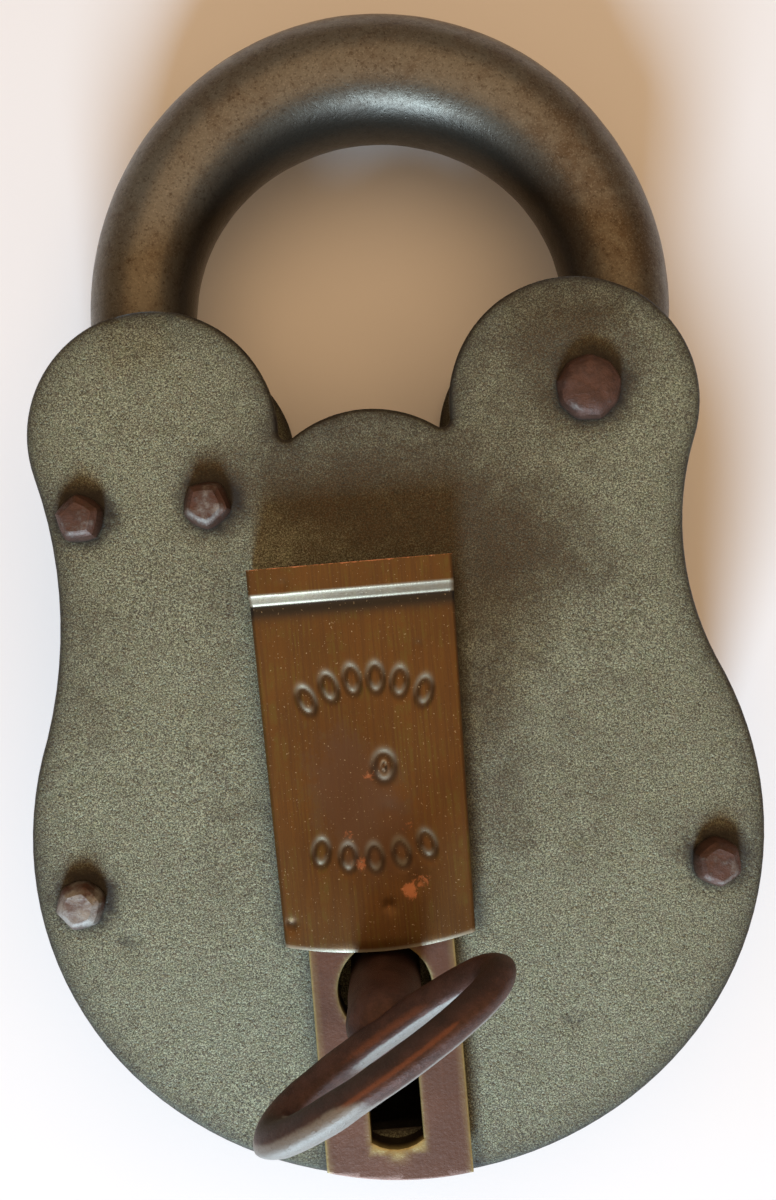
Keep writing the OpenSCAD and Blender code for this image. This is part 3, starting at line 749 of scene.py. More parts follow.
def plate_paint(p, outline):
    """Where brown rust, black grime and painted shade lie on the case: rust in patches and round
    the rivets' heads; grime along the outline and in the deeper dents;
    painted shadow beside each rivet's head, the cover and the keyhole plate, and painted shade in
    the keyhole."""
    x, y = p.x, p.y
    edge = outline.find((x, y, 0))[2]
    rust = 0.0
    rust += 0.85 * bell(x + 0.5, 13) * bell(y - 30.5, 8.5)
    rust += 0.5 * bell(x - 14, 9) * bell(y - 23, 6)
    rust += 0.7 * bell(x - 18.5, 9) * bell(y - 42, 6)
    rust += 0.3 * bell(x - 1.5, 8) * bell(y - 25, 4.5)
    rust += 0.45 * bell(x - 8.5, 4.0) * bell(y - 8, 16)
    rust += 0.35 * bell(x + 14.5, 3.5) * bell(y - 8, 14)
    rust += 0.38 * bell(x - 17, 12) * bell(y - 10, 14)
    rust += 0.35 * bell(x + 25, 3.5) * bell(y - 14, 9)
    rust -= 0.3 * bell(x, 26) * bell(y + 20, 9)
    rust -= 0.22 * bell(x + 22, 8) * bell(y - 34, 9)
    for node, lift, size, share in (("shackle_rivet", 1.2, 4.6, 1.1),
                                    ("upper_rivet_outer", 1.4, 2.6, 1.0),
                                    ("upper_rivet_inner", 1.4, 2.5, 1.0),
                                    ("lower_rivet_left", 1.5, 2.6, 0.9),
                                    ("lower_rivet_right", 1.2, 3.0, 0.9)):
        c, r = HEADS[node]
        rust += share * bell(math.hypot(x - c.x, y - c.y - lift) - 0.6, size)
    dark_grime_and_shade = 0.75 * math.exp(-edge / 0.55) + 0.3 * math.exp(-edge / 2.2)
    for node in RIVET_NODES:
        c, r = HEADS[node]
        # painted shadow: a dark patch set off to one side of each rivet's head
        dark_grime_and_shade += 0.9 * bell(max(0.0, math.hypot(x - c.x - 0.4, y - c.y - 0.3) - r - 0.1), 0.5)
    across = abs(x - KEY_AXIS.x)
    # painted shadow along both sides of the sliding cover
    if COVER_SPAN[0] < y < COVER_SPAN[1]:
        dark_grime_and_shade += 0.6 * bell(max(0.0, across - COVER_HALF), 0.6)
    # painted shadow along both sides of the keyhole plate, below the cover
    if y < -9:
        dark_grime_and_shade += 0.55 * bell(across - 6.4, 0.7)
    # painted shade inside the keyhole's slot through the plate
    if across < SLOT_ROOM + 0.2 and HOLE_LOW < y < KEY_AXIS.y:
        dark_grime_and_shade = 0.9
    for cx, cy, r, _ in DENTS[:3]:
        dark_grime_and_shade += 0.8 * bell(math.hypot(x - cx, y - cy), r * 0.9)
    return {"rust": rust, "edge": min(0.9, dark_grime_and_shade)}


def outline_tree(bm):
    """A tree of points along the edges, which finds how far from them a place is."""
    points = [e.verts[0].co.lerp(e.verts[1].co, i / 8) for e in bm.edges for i in range(8)]
    tree = kdtree.KDTree(len(points))
    for i, p in enumerate(points):
        tree.insert((p.x, p.y, 0), i)
    tree.balance()
    return tree


def make_plate(name, node, material, front):
    """One of the case's two plates, worn on its outer face."""
    s = bpy.context.scene.padlock_case
    low, high = box_mm(node)
    bm = bmesh.new()
    edges = trace_case(bm, 0, low.z)
    tree = outline_tree(bm)
    raised_loop_slab(bm, edges, high.z - low.z)
    flat_faces_joined(bm)
    outer, inner, out = (high.z, low.z, 1) if front else (low.z, high.z, -1)
    bevel_where(bm, rim_edge(outer), s.edge_round / MM, 4)
    bevel_where(bm, rim_edge(inner), 0.15, 1)
    if front:
        x, y = KEY_AXIS.x, KEY_AXIS.y
        cut_box(bm, (x - SLOT_ROOM, HOLE_LOW + 0.2), (x + SLOT_ROOM, y))
        cut_box(bm, (x - KEYHOLE_ROOM, y - 3.2), (x + KEYHOLE_ROOM, y + KEYHOLE_ROOM))
        wall_cut_edges(bm, high.z, low.z)
    grid_cut(bm, low, high, s.cell / MM * (1 if front else 2))
    mid = (low.z + high.z) / 2
    for v in bm.verts:
        if (v.co.z - mid) * out > 0:
            x, y = v.co.x, v.co.y
            dip = plate_dip(x, y) if front else 0.04 + 0.04 * wave(x, y, size=8, seed=9)
            dip *= min(1.0, abs(v.co.z - mid) / abs(outer - mid))
            v.co.z -= dip * out
    return add_piece(name, bm, "case", material, [node],
                     lambda p: plate_paint(p, tree), sharp=40)


STRIP_IN = 0.32, 1.4          # how far in from the plates' edge the strips' two faces lie


def make_strip(name, node, cuts):
    """A side strip: the wall between two outlines. Each cut is an axis, a limit and a test for
    what goes."""
    low, high = box_mm(node)
    bm = bmesh.new()
    edges = trace_case(bm, STRIP_IN[0], low.z) + trace_case(bm, STRIP_IN[1], low.z)
    made = bmesh.ops.bridge_loops(bm, edges=edges)
    raise_faces(bm, made["faces"], high.z - low.z)
    for axis, limit, _ in cuts:
        cut(bm, axis, limit)
    drop_faces(bm, bm.faces, lambda c: any(gone(c) for _, _, gone in cuts))
    bmesh.ops.holes_fill(bm, edges=[e for e in bm.edges if e.is_boundary], sides=8)
    bmesh.ops.triangulate(bm, faces=[f for f in bm.faces if len(f.verts) > 4])

    def paint(p):
        ends = min(p.z - low.z, high.z - p.z)
        return {"rust": 0.3 + 0.4 * wave(p.x, p.y, p.z, 7), "edge": 0.7 * math.exp(-ends / 0.8)}
    return add_piece(name, bm, "case", finish("rim_steel"), [node], paint)


class PADLOCK_OT_plates(bpy.types.Operator):
    """Builds the front and back plates of the case"""
    bl_idname = "padlock.plates"
    bl_label = "Case plates"

    def execute(self, context):
        make_plate("plate_front", "front_plate", finish("case_steel"), True)
        make_plate("plate_back", "back_plate", finish("back_steel"), False)
        return {"FINISHED"}


class PADLOCK_OT_strips(bpy.types.Operator):
    """Builds the side strips between the plates"""
    bl_idname = "padlock.strips"
    bl_label = "Side strips"

    def execute(self, context):
        right_end = 25.9                            # leaves room for the shackle's swing
        left_end, left_in = box_mm("case_rim")[1].y, -24.1          # and for its free leg
        make_strip("strip_case", "case_rim", [
            (1, right_end, lambda c: c.x > 0 and c.y > right_end),
            (1, left_end, lambda c: c.y > left_end),
            (0, left_in, lambda c: left_in < c.x <= 0 and c.y > 0),
        ])
        low, high = box_mm("top_rim")
        lowest = 20                                 # the short strip lies wholly above this
        make_strip("strip_top", "top_rim", [
            (0, low.x, lambda c: c.x < low.x),
            (0, high.x, lambda c: c.x > high.x),
            (1, lowest, lambda c: c.y < lowest),
        ])
        return {"FINISHED"}


# ---------------------------------------------------------------- rivets

def make_rivet(name, node, sides, turn, top_share, seed, worn, dome=0.0):
    """A rivet through both plates, with a head hammered to a few flat sides."""
    high = box_mm(node)[1]
    centre, base = HEADS[node]
    flush = 2.1 if base < 2.5 else 2.8              # radius of the end in the back plate
    shank = flush - 0.95
    head = high.z - FRONT
    top = base * top_share
    profile = [(0, 0.02), (flush - 0.15, 0.02), (flush - 0.05, 0.1), (shank, 1.0),
               (shank, FRONT - 0.1), (base * 0.97, FRONT - 0.08), (base, FRONT + 0.1 * head),
               (base * 0.97, FRONT + 0.38 * head), ((base + top) / 2, FRONT + 0.68 * head),
               (top, FRONT + 0.86 * head), (top * 0.84, FRONT + 0.96 * head),
               (top * 0.5, FRONT + (0.97 + dome) * head), (0, FRONT + (0.98 + dome) * head)]
    bm = bmesh.new()
    spin_profile(bm, profile, 48)
    wedge = 360 / sides
    for v in bm.verts:
        if v.co.z <= FRONT - 0.09:
            continue
        off = (angle_of(v.co) - turn) % wedge - wedge / 2
        flat = math.cos(math.radians(wedge / 2)) / math.cos(math.radians(off))
        share = 0.8 if v.co.z > FRONT + 0.3 * head else 0.45
        scale = 1 + (flat - 1) * share
        scale *= 1 + 0.05 * wave(v.co.x, v.co.y, v.co.z, 1.8, seed)
        v.co.x, v.co.y = v.co.x * scale, v.co.y * scale
        if v.co.z > FRONT + 0.8 * head:
            v.co.z -= 0.1 + 0.1 * wave(v.co.x, v.co.y, 0, 1.3, seed + 3) + 0.02 * v.co.x
        v.co.z = min(v.co.z, high.z - 0.01)
    bmesh.ops.translate(bm, verts=bm.verts[:], vec=(centre.x, centre.y, 0))

    def paint(p):
        up = (p.z - FRONT) / head
        # painted highlight on the head's rim, on the side toward the lamp
        lit_lower_edge = bell(up - 0.82, 0.14) * 0.4 * bell(p.y - centre.y + base, base * 1.3)
        return {"wear": lit_lower_edge + worn + 0.2 * wave(p.x, p.y, p.z, 1.2, seed),
                "edge": 0.8 * bell(up, 0.22), "rust": 0.5}
    return add_piece(name, bm, "case", finish("rivet_steel"), [node], paint, 28)


def make_lever_post():
    """The post that the levers turn on: a collar, a journal and two ends set in the plates."""
    centre, outer = head_place("lever_post")
    inner_low, inner_high = box_mm("back_plate")[1].z, box_mm("front_plate")[0].z
    levers = box_mm("lever_back")[0].z
    journal, end = outer - 1.1, outer - 1.5
    collar = outer - 0.02
    profile = [(0, 0.02), (end, 0.02), (end, inner_low + 0.01), (collar, inner_low + 0.01),
               (collar, levers - 0.12), (journal, levers - 0.12), (journal, inner_high - 0.01),
               (end, inner_high - 0.01), (end, inner_high + 0.8), (0, inner_high + 0.8)]
    bm = bmesh.new()
    spin_profile(bm, profile, 40)
    bmesh.ops.translate(bm, verts=bm.verts[:], vec=(centre.x, centre.y, 0))
    return add_piece("lever_pivot_post", bm, "case", finish("inner_steel"),
                     ["lever_post"])


class PADLOCK_OT_rivets(bpy.types.Operator):
    """Builds the five hammered rivets and the levers' post"""
    bl_idname = "padlock.rivets"
    bl_label = "Rivets"

    def execute(self, context):
        make_rivet("rivet_upper_outer", "upper_rivet_outer", 5, 20, 0.74, 1.0, 0.22)
        make_rivet("rivet_upper_inner", "upper_rivet_inner", 5, 55, 0.74, 2.0, 0.3)
        make_rivet("rivet_lower_left", "lower_rivet_left", 6, 10, 0.7, 3.0, 0.55)
        make_rivet("rivet_lower_right", "lower_rivet_right", 6, 33, 0.78, 4.0, 0.2)
        make_rivet("rivet_pivot", "shackle_rivet", 9, 5, 0.8, 5.0, 0.05, 0.02)
        make_lever_post()
        return {"FINISHED"}


# ---------------------------------------------------------------- shackle

def ring(bm, centre, across, up, radius, sides, squash=1.0, power=2.0):
    """A closed ring of edges round a point, square to the bar there. Gives its edges.

    A power under 2 draws its four sides flatter, with ridges between them."""
    made = bmesh.ops.create_circle(bm, cap_ends=False, radius=radius, segments=sides)
    if power != 2.0:
        for v in made["verts"]:
            u = v.co.normalized()
            v.co *= (abs(u.x) ** power + abs(u.y) ** power) ** (-1 / power)
    across, up = across.normalized(), up.normalized()
    along = across.cross(up)
    turn = Matrix((across, up, along)).transposed().to_4x4()
    scale = Matrix.Diagonal((1, squash, 1, 1))
    bmesh.ops.transform(bm, matrix=Matrix.Translation(centre) @ turn @ scale,
                        verts=made["verts"])
    return list({e for v in made["verts"] for e in v.link_edges})


class PADLOCK_OT_shackle(bpy.types.Operator):
    """Builds the shackle: its bow, its hub and its notched toe"""
    bl_idname = "padlock.shackle"
    bl_label = "Shackle"

    def execute(self, context):
        s = context.scene.padlock_shackle
        bow_r, leg_r, crown_r = s.bow_radius / MM, s.leg_radius / MM, s.crown_radius / MM
        bow = Vector((s.bow_across / MM, s.bow_height / MM, middle("shackle").z))
        end, end_r = -38.0, 2.55                    # the bow runs on, thinning, into the hub
        sides, stops = 64, 150

        def bar(a):
            crown = (crown_r - leg_r) * max(0.0, math.sin(math.radians(a))) ** 2
            return leg_r + crown - (leg_r - end_r) * (min(a, 0) / end) ** 2

        bm = bmesh.new()
        up = Vector((0, 0, 1))
        leg = Vector((bow.x - bow_r, 0, bow.z))
        stations = [(Vector((leg.x, y, leg.z)), Vector((-1, 0, 0)), leg_r)
                    for y in (s.leg_end / MM, 36, 40, 43.5)]
        for i in range(stops + 1):
            a = 180 - (180 - end) * i / stops
            out = polar(a).to_3d()
            stations.append((bow + out * bow_r, out, bar(a)))
        previous = None
        for centre, across, radius in stations:
            edges = ring(bm, centre, across, up, radius, sides)
            if previous is None:
                bmesh.ops.contextual_create(bm, geom=edges)
            else:
                bmesh.ops.bridge_loops(bm, edges=previous + edges)
            previous = edges
        bmesh.ops.contextual_create(bm, geom=previous)
        for v in bm.verts:
            if v.co.y > bow.y - 3:
                lump = 0.035 * wave(*v.co, 6, 2) + 0.02 * wave(*v.co, 2, 5)
                radial = Vector((v.co.x - bow.x, v.co.y - bow.y, 0))
                centre = bow + radial.normalized() * bow_r
                v.co -= (v.co - centre).normalized() * (0.03 + lump)
        pivot = middle("shackle_rivet")
        rim_low, rim_high = box_mm("case_rim")
        hub_h = rim_high.z - rim_low.z - 0.7
        hub_r = 6.25
        made = bmesh.ops.create_cone(bm, cap_ends=True, radius1=hub_r, radius2=hub_r, depth=hub_h,
                                     segments=72,
                                     matrix=Matrix.Translation((pivot.x, pivot.y, bow.z)))
        rim = {e for v in made["verts"] for e in v.link_edges if e.calc_face_angle(0) > 1.0}
        bevel_edges(bm, list(rim), 0.4, 2)
        self.toe(bm, pivot, bow)

        def paint(p):
            past_ears = [math.hypot(p.x - x, p.y - EAR_Y) - EAR_R for x in (-EAR_X, EAR_X)]
            near = min(abs(d) for d in past_ears)
            inside = min(past_ears) < 0
            right = 0.3 * bell(p.x - 24, 8)
            reach = math.hypot(p.x - bow.x, max(0.0, p.y - bow.y))
            # painted shade on the bar's inner side, under the bow
            inner = 0.85 * span((bow_r - reach) / leg_r, 0.35, 0.85)
            rust = right + 0.3 * span(reach - bow_r, 1.5, 4.5) - 0.2 * bell(reach - bow_r + 1, 2)
            # the bar inside the case is painted in shade; it is also darker towards the ears'
            # outline
            return {"rust": rust,
                    "edge": 0.85 if inside else max(inner, 0.75 * math.exp(-near / 1.4))}
        add_piece("shackle_bar", bm, "shackle", finish("shackle_steel"),
                  ["shackle"], paint)
        return {"FINISHED"}

    def toe(self, bm, pivot, bow):
        """The curved toe below the free leg, with its notch for the bolt."""
        s = bpy.context.scene.padlock_shackle
        leg_x = (s.bow_across - s.bow_radius) / MM
        half, thick = 3.56, 7.94                    # half its width, and its thickness
        bottom, mid_r = bow.z - thick / 2, pivot.x - leg_x
        ends = [bm.verts.new((*(pivot.xy + polar(180 + TOE_ANGLES[0], r)), bottom))
                for r in (mid_r - half, mid_r + half)]
        bmesh.ops.spin(bm, geom=ends + [bm.edges.new(ends)], cent=(pivot.x, pivot.y, 0),
                       axis=(0, 0, 1), angle=math.radians(TOE_ANGLES[1] - TOE_ANGLES[0]), steps=16,
                       use_merge=False, use_duplicate=False)

        def sheet():
            """The toe's faces, which still lie flat."""
            return [f for f in bm.faces if all(abs(v.co.z - bottom) < 1e-4 for v in f.verts)
                    and f.calc_center_median().x < -10 and f.calc_center_median().y < 36]
        nose_high = box_mm("bolt")[1].y
        inner = leg_x + 0.4                         # how far out the notch reaches
        low, high = nose_high - BOLT_NOSE - NOSE_GAP, nose_high + NOSE_GAP
        for axis, limit in ((0, inner), (1, low), (1, high)):
            cut(bm, axis, limit, sheet())
        drop_faces(bm, sheet(), lambda c: c.x > inner and low < c.y < high)
        raise_faces(bm, sheet(), thick)


# ---------------------------------------------------------------- keyhole plate

class PADLOCK_OT_track(bpy.types.Operator):
    """Builds the raised keyhole plate that the cover slides on"""
    bl_idname = "padlock.track"
    bl_label = "Keyhole plate"

    def execute(self, context):
        low, high = box_mm("keyhole_plate")
        body_r = context.scene.padlock_case.body_radius / MM
        hole = keyhole_r, slot_w, slot_end = 4.05, 2.22, -27.25
        arc_r = body_r - (0.9 + context.scene.padlock_case.body_flat / MM + 0.02)
        foot, lap = 1.1, 0.02                       # the foot runs on a little into the top
        bm = bmesh.new()
        self.layer(bm, KEY_AXIS.x - TRACK_HALF, KEY_AXIS.x + TRACK_HALF, arc_r, high.y, low.z,
                   foot + lap, hole)
        top = high.z - low.z - foot
        self.layer(bm, low.x, high.x, arc_r, high.y, high.z - top, top, hole)
        bevel_where(bm, rim_edge(high.z), 0.16, 2)
        grid_cut(bm, low, high, 0.5)

        def paint(p):
            side = min(p.x - low.x, high.x - p.x)
            off = math.hypot(p.x - KEY_AXIS.x, p.y - KEY_AXIS.y) - keyhole_r
            if p.y < KEY_AXIS.y:
                off = min(off, max(abs(p.x - KEY_AXIS.x) - slot_w, slot_end - p.y))
            wear = 0.95 * math.exp(-max(0.0, side) / 0.14) * (p.z > high.z - 0.6)
            wear += 0.8 * math.exp(-max(0.0, off) / 0.13) * (p.z > high.z - 0.3)
            wear += 0.5 * bell(math.hypot((p.x - KEY_AXIS.x) / 1.5, p.y - slot_end + 0.45), 0.5)
            # painted shade on the foot, under the overhanging top
            return {"wear": wear, "edge": 0.85 if p.z < high.z - 0.9 else 0.0}
        add_piece("keyhole_track", bm, "case", finish("brass"), ["keyhole_plate"], paint)
        return {"FINISHED"}

    def layer(self, bm, left, right, arc_r, top, z, rise, hole):
        """One slab of the plate: square above, rounded with the body below, keyhole cut out."""
        keyhole_r, slot_w, slot_end = hole
        before = set(bm.edges)
        a0 = -90 - math.degrees(math.asin(-left / arc_r))
        a1 = -90 + math.degrees(math.asin(right / arc_r))
        start = bm.verts.new((*polar(a0, arc_r), z))
        last = sweep(bm, start, Vector((0, 0)), a1 - a0, 1)
        corner_right = bm.verts.new((right, top, z))
        corner_left = bm.verts.new((left, top, z))
        for a, b in ((last, corner_right), (corner_right, corner_left), (corner_left, start)):
            bm.edges.new((a, b))
        slot_a = 270 + math.degrees(math.asin(slot_w / keyhole_r))
        key = Vector((KEY_AXIS.x, KEY_AXIS.y))
        first = bm.verts.new((*(key + polar(slot_a, keyhole_r)), z))
        final = sweep(bm, first, key, 360 - 2 * (slot_a - 270), 5)
        sag = 0.75                                  # how far the slot's rounded end bows down
        sag_r = (slot_w ** 2 + sag ** 2) / (2 * sag)
        sag_a = math.degrees(math.asin(slot_w / sag_r))
        low_left = bm.verts.new((key.x - slot_w, slot_end + sag, z))
        low_right = sweep(bm, low_left, Vector((key.x, slot_end + sag_r)), 2 * sag_a, 12)
        for a, b in ((final, low_left), (low_right, first)):
            bm.edges.new((a, b))
        edges = [e for e in bm.edges if e not in before]
        raised_loop_slab(bm, edges, rise)


# ---------------------------------------------------------------- sliding cover

def oval_mark(x, y, cx, cy, turn, wide, tall):
    """Depth, from 0 to 1, of one punched oval ring."""
    a = math.radians(turn)
    u = ((x - cx) * math.cos(a) + (y - cy) * math.sin(a)) / wide
    v = (-(x - cx) * math.sin(a) + (y - cy) * math.cos(a)) / tall
    q = math.hypot(u, v)
    return bell(q - 1.0, 0.34) if q < 2.2 else 0.0


def cover_marks():
    """The cover's punched ornament: two arcs of ovals, and a larger one with a dot between.

    Each mark is its centre, its turn in degrees, and its half width and half height."""
    marks = []
    for i in range(6):
        t = (i - 2.5) / 2.5
        marks.append((-1.8 + 5.0 * t, 13.1 - 1.5 * t * t, -17 * t + 3, 0.62, 1.1))
    for i in range(5):
        t = (i - 2) / 2
        marks.append((-2.1 + 4.5 * t, -2.13 + 0.8 * t * t, 11 * t + 3, 0.62, 1.05))
    marks.append((-0.7, 5.5, 0, 0.85, 1.15))
    marks.append((-0.7, 5.5, 0, 0.2, 0.4))
    return marks


class PADLOCK_OT_cover(bpy.types.Operator):
    """Builds the sliding keyhole cover, a folded brass sheet with a thumb lip"""
    bl_idname = "padlock.cover"
    bl_label = "Sliding cover"

    def execute(self, context):
        s = context.scene.padlock_cover
        low, high = box_mm("keyhole_cover")
        sheet, lip = s.sheet / MM, s.lip_height / MM
        bottom, roof = low.z + 0.01, high.z - lip - 0.05
        top_y, corner_y = high.y - 0.02, -8.9
        sag = s.sag / MM - 0.02
        mid = KEY_AXIS.x
        fold_top, fold_low = 0.32, 0.35             # radii of the folds, above and below
        hem = 4.95                                  # how near the middle the hems come
        wide_top, wide_low = 8.73, 8.08

        def half_width(y):
            """Half the cover's width, which is less towards its lower edge."""
            return wide_low + (wide_top - wide_low) * (y - corner_y) / (top_y - corner_y)

        # faces along the grid, and across the face, each hem, fold and side wall
        rows, cols, hem_n, fold_n, wall_n = 190, 116, 3, 5, 3
        total = cols + 2 * (hem_n + 2 * fold_n + wall_n)
        bm = bmesh.new()
        bmesh.ops.create_grid(bm, x_segments=total, y_segments=rows, size=0.5)
        lip_y, step = 20.45, 0.85                   # where the face steps up to the lip

        def section(j, w):
            """Where column j lies in the folded section of half width w: across, and its height."""
            side = -1 if j * 2 < total else 1
            k = j if side < 0 else total - j
            flat = w - fold_top
            if k <= hem_n:
                x = hem + (w - fold_low - hem) * k / hem_n
                return side * x, bottom
            k -= hem_n
            if k <= fold_n:
                a = math.radians(90 * k / fold_n)
                return (side * (w - fold_low + fold_low * math.sin(a)),
                        bottom + fold_low - fold_low * math.cos(a))
            k -= fold_n
            if k <= wall_n:
                z0, z1 = bottom + fold_low, roof - fold_top
                return side * w, z0 + (z1 - z0) * k / wall_n
            k -= wall_n
            if k <= fold_n:
                a = math.radians(90 * k / fold_n)
                return (side * (w - fold_top + fold_top * math.cos(a)),
                        roof - fold_top + fold_top * math.sin(a))
            k -= fold_n
            return side * (flat - flat * 2 * k / cols), roof

        marks = cover_marks()
        dings = [  # x, y, radius, depth
            (-9.6, -7.1, 0.5, 0.22), (-7.9, 21.6, 0.5, 0.12), (1.2, -4.2, 0.9, 0.12),
            (-0.6, 1.9, 0.8, 0.12), (-1.2, -6.2, 0.5, 0.16), (3.0, 15.6, 0.4, 0.1)]
        scars = [  # x, y, radius, strength of the copper scars
            (-4.2, 0.1, 0.9, 0.62), (-1.9, 5.0, 0.8, 0.62), (-3.2, -2.4, 0.9, 0.8),
            (0.9, 0.3, 0.9, 0.6), (0.6, -5.1, 0.75, 0.95), (1.7, -4.3, 1.0, 0.6),
            (-0.8, 2.3, 0.7, 0.5), (-1.3, -6.6, 0.6, 0.6)]
        for v in bm.verts:
            j = round((v.co.x + 0.5) * total)
            i = (v.co.y + 0.5)
            y = corner_y + (top_y - corner_y) * i
            w = half_width(y)
            x, z = section(j, w)
            flat_share = max(0.0, 1 - (x / w) ** 2)
            y -= sag * flat_share * (1 - i) ** 3 if z > roof - 0.8 else 0.0
            if z > roof - 0.3:
                z += lip * span((y - lip_y) / step, -0.5, 0.5)
                z -= 0.1 * bell(y - (lip_y - step * 0.8), 0.35)
                gx, gy = x + mid, y
                z -= s.mark_depth / MM * max(oval_mark(gx, gy, *m) for m in marks)
                for cx, cy, r, d in dings:
                    z -= d * bell(math.hypot(gx - cx, gy - cy), r)
                z += 0.03 * wave(gx, gy, 0, 5, 7) - 0.03
                edge_down = max(0.0, 1 - (y - (corner_y - sag)) / 1.2)
                z -= 0.22 * edge_down ** 2
            v.co = Vector((mid + x, y, z))
        bmesh.ops.recalc_face_normals(bm, faces=bm.faces[:])
        up_face = max(bm.faces, key=lambda f: f.calc_center_median().z)
        if up_face.normal.z < 0:
            bmesh.ops.reverse_faces(bm, faces=bm.faces[:])
        bmesh.ops.solidify(bm, geom=bm.faces[:], thickness=sheet)
        for v in bm.verts:
            v.co.z = min(max(v.co.z, low.z + 0.002), high.z - 0.002)
            v.co.y = min(max(v.co.y, low.y + 0.002), high.y - 0.002)

        def paint(p):
            x, y = p.x, p.y
            w = half_width(y)
            # a slanting oval of tarnish round the middle of the face
            along = (x + 2.8) * 0.412 - (y - 2.5) * 0.911
            across = (x + 2.8) * 0.911 + (y - 2.5) * 0.412
            patch = 1.1 * bell(math.hypot(along / 8.5, across / 4.8), 0.85)
            copper = sum(share * bell(math.hypot(x - qx, y - qy), r) for qx, qy, r, share in scars)
            step_highlight = 0.0
            if p.z > roof - 0.3:
                # painted highlight: a bright band along the lip's step
                step_highlight = 0.22 * bell(max(0.0, abs(y - lip_y) - 0.25), 0.16)
                step_highlight += 0.45 * bell(abs(y - lip_y) - 0.36, 0.09)
            # painted highlight along the top edge, carried with the copper scars
            copper += 0.8 * bell(y - top_y, 0.12)
            # painted highlight along the rounded lower edge
            lower_edge_highlight = bell(y + 8.86 + 1.07 * max(0.0, 1 - ((x - mid) / w) ** 2), 0.17)
            lower_edge_highlight *= p.z > roof - 0.9
            # painted shade: a dark band below the step
            dark_grime_and_shade = bell(max(0.0, lip_y - 1.0 - y), 0.7) * (p.z > roof - 0.6) * (y < lip_y - 0.42)
            depth = lit = 0.0
            if p.z > roof - 0.4:
                depth = max(oval_mark(x, y, *m) for m in marks)
                lit = max(oval_mark(x, y - 0.2, *m) - oval_mark(x, y + 0.2, *m) for m in marks)
            # painted shade in the punched marks, less where their upper walls carry the painted
            # highlight
            dark_grime_and_shade += 0.7 * depth * (1 - max(0.0, lit))
            dark_grime_and_shade += 0.6 * bell(math.hypot(x - dings[0][0], y - dings[0][1]), 0.45)
            # painted shade on the sheet's underside and hems
            if p.z < roof - 0.85:
                dark_grime_and_shade = max(dark_grime_and_shade, 0.6)
            return {"tarnish": patch, "copper": copper, "edge": dark_grime_and_shade,
                    "wear": step_highlight + 0.6 * lower_edge_highlight + 0.5 * lit}
        add_piece("sliding_cover", bm, "cover", finish("cover_brass"),
                  ["keyhole_cover"], paint, 50)
        return {"FINISHED"}


# ---------------------------------------------------------------- key

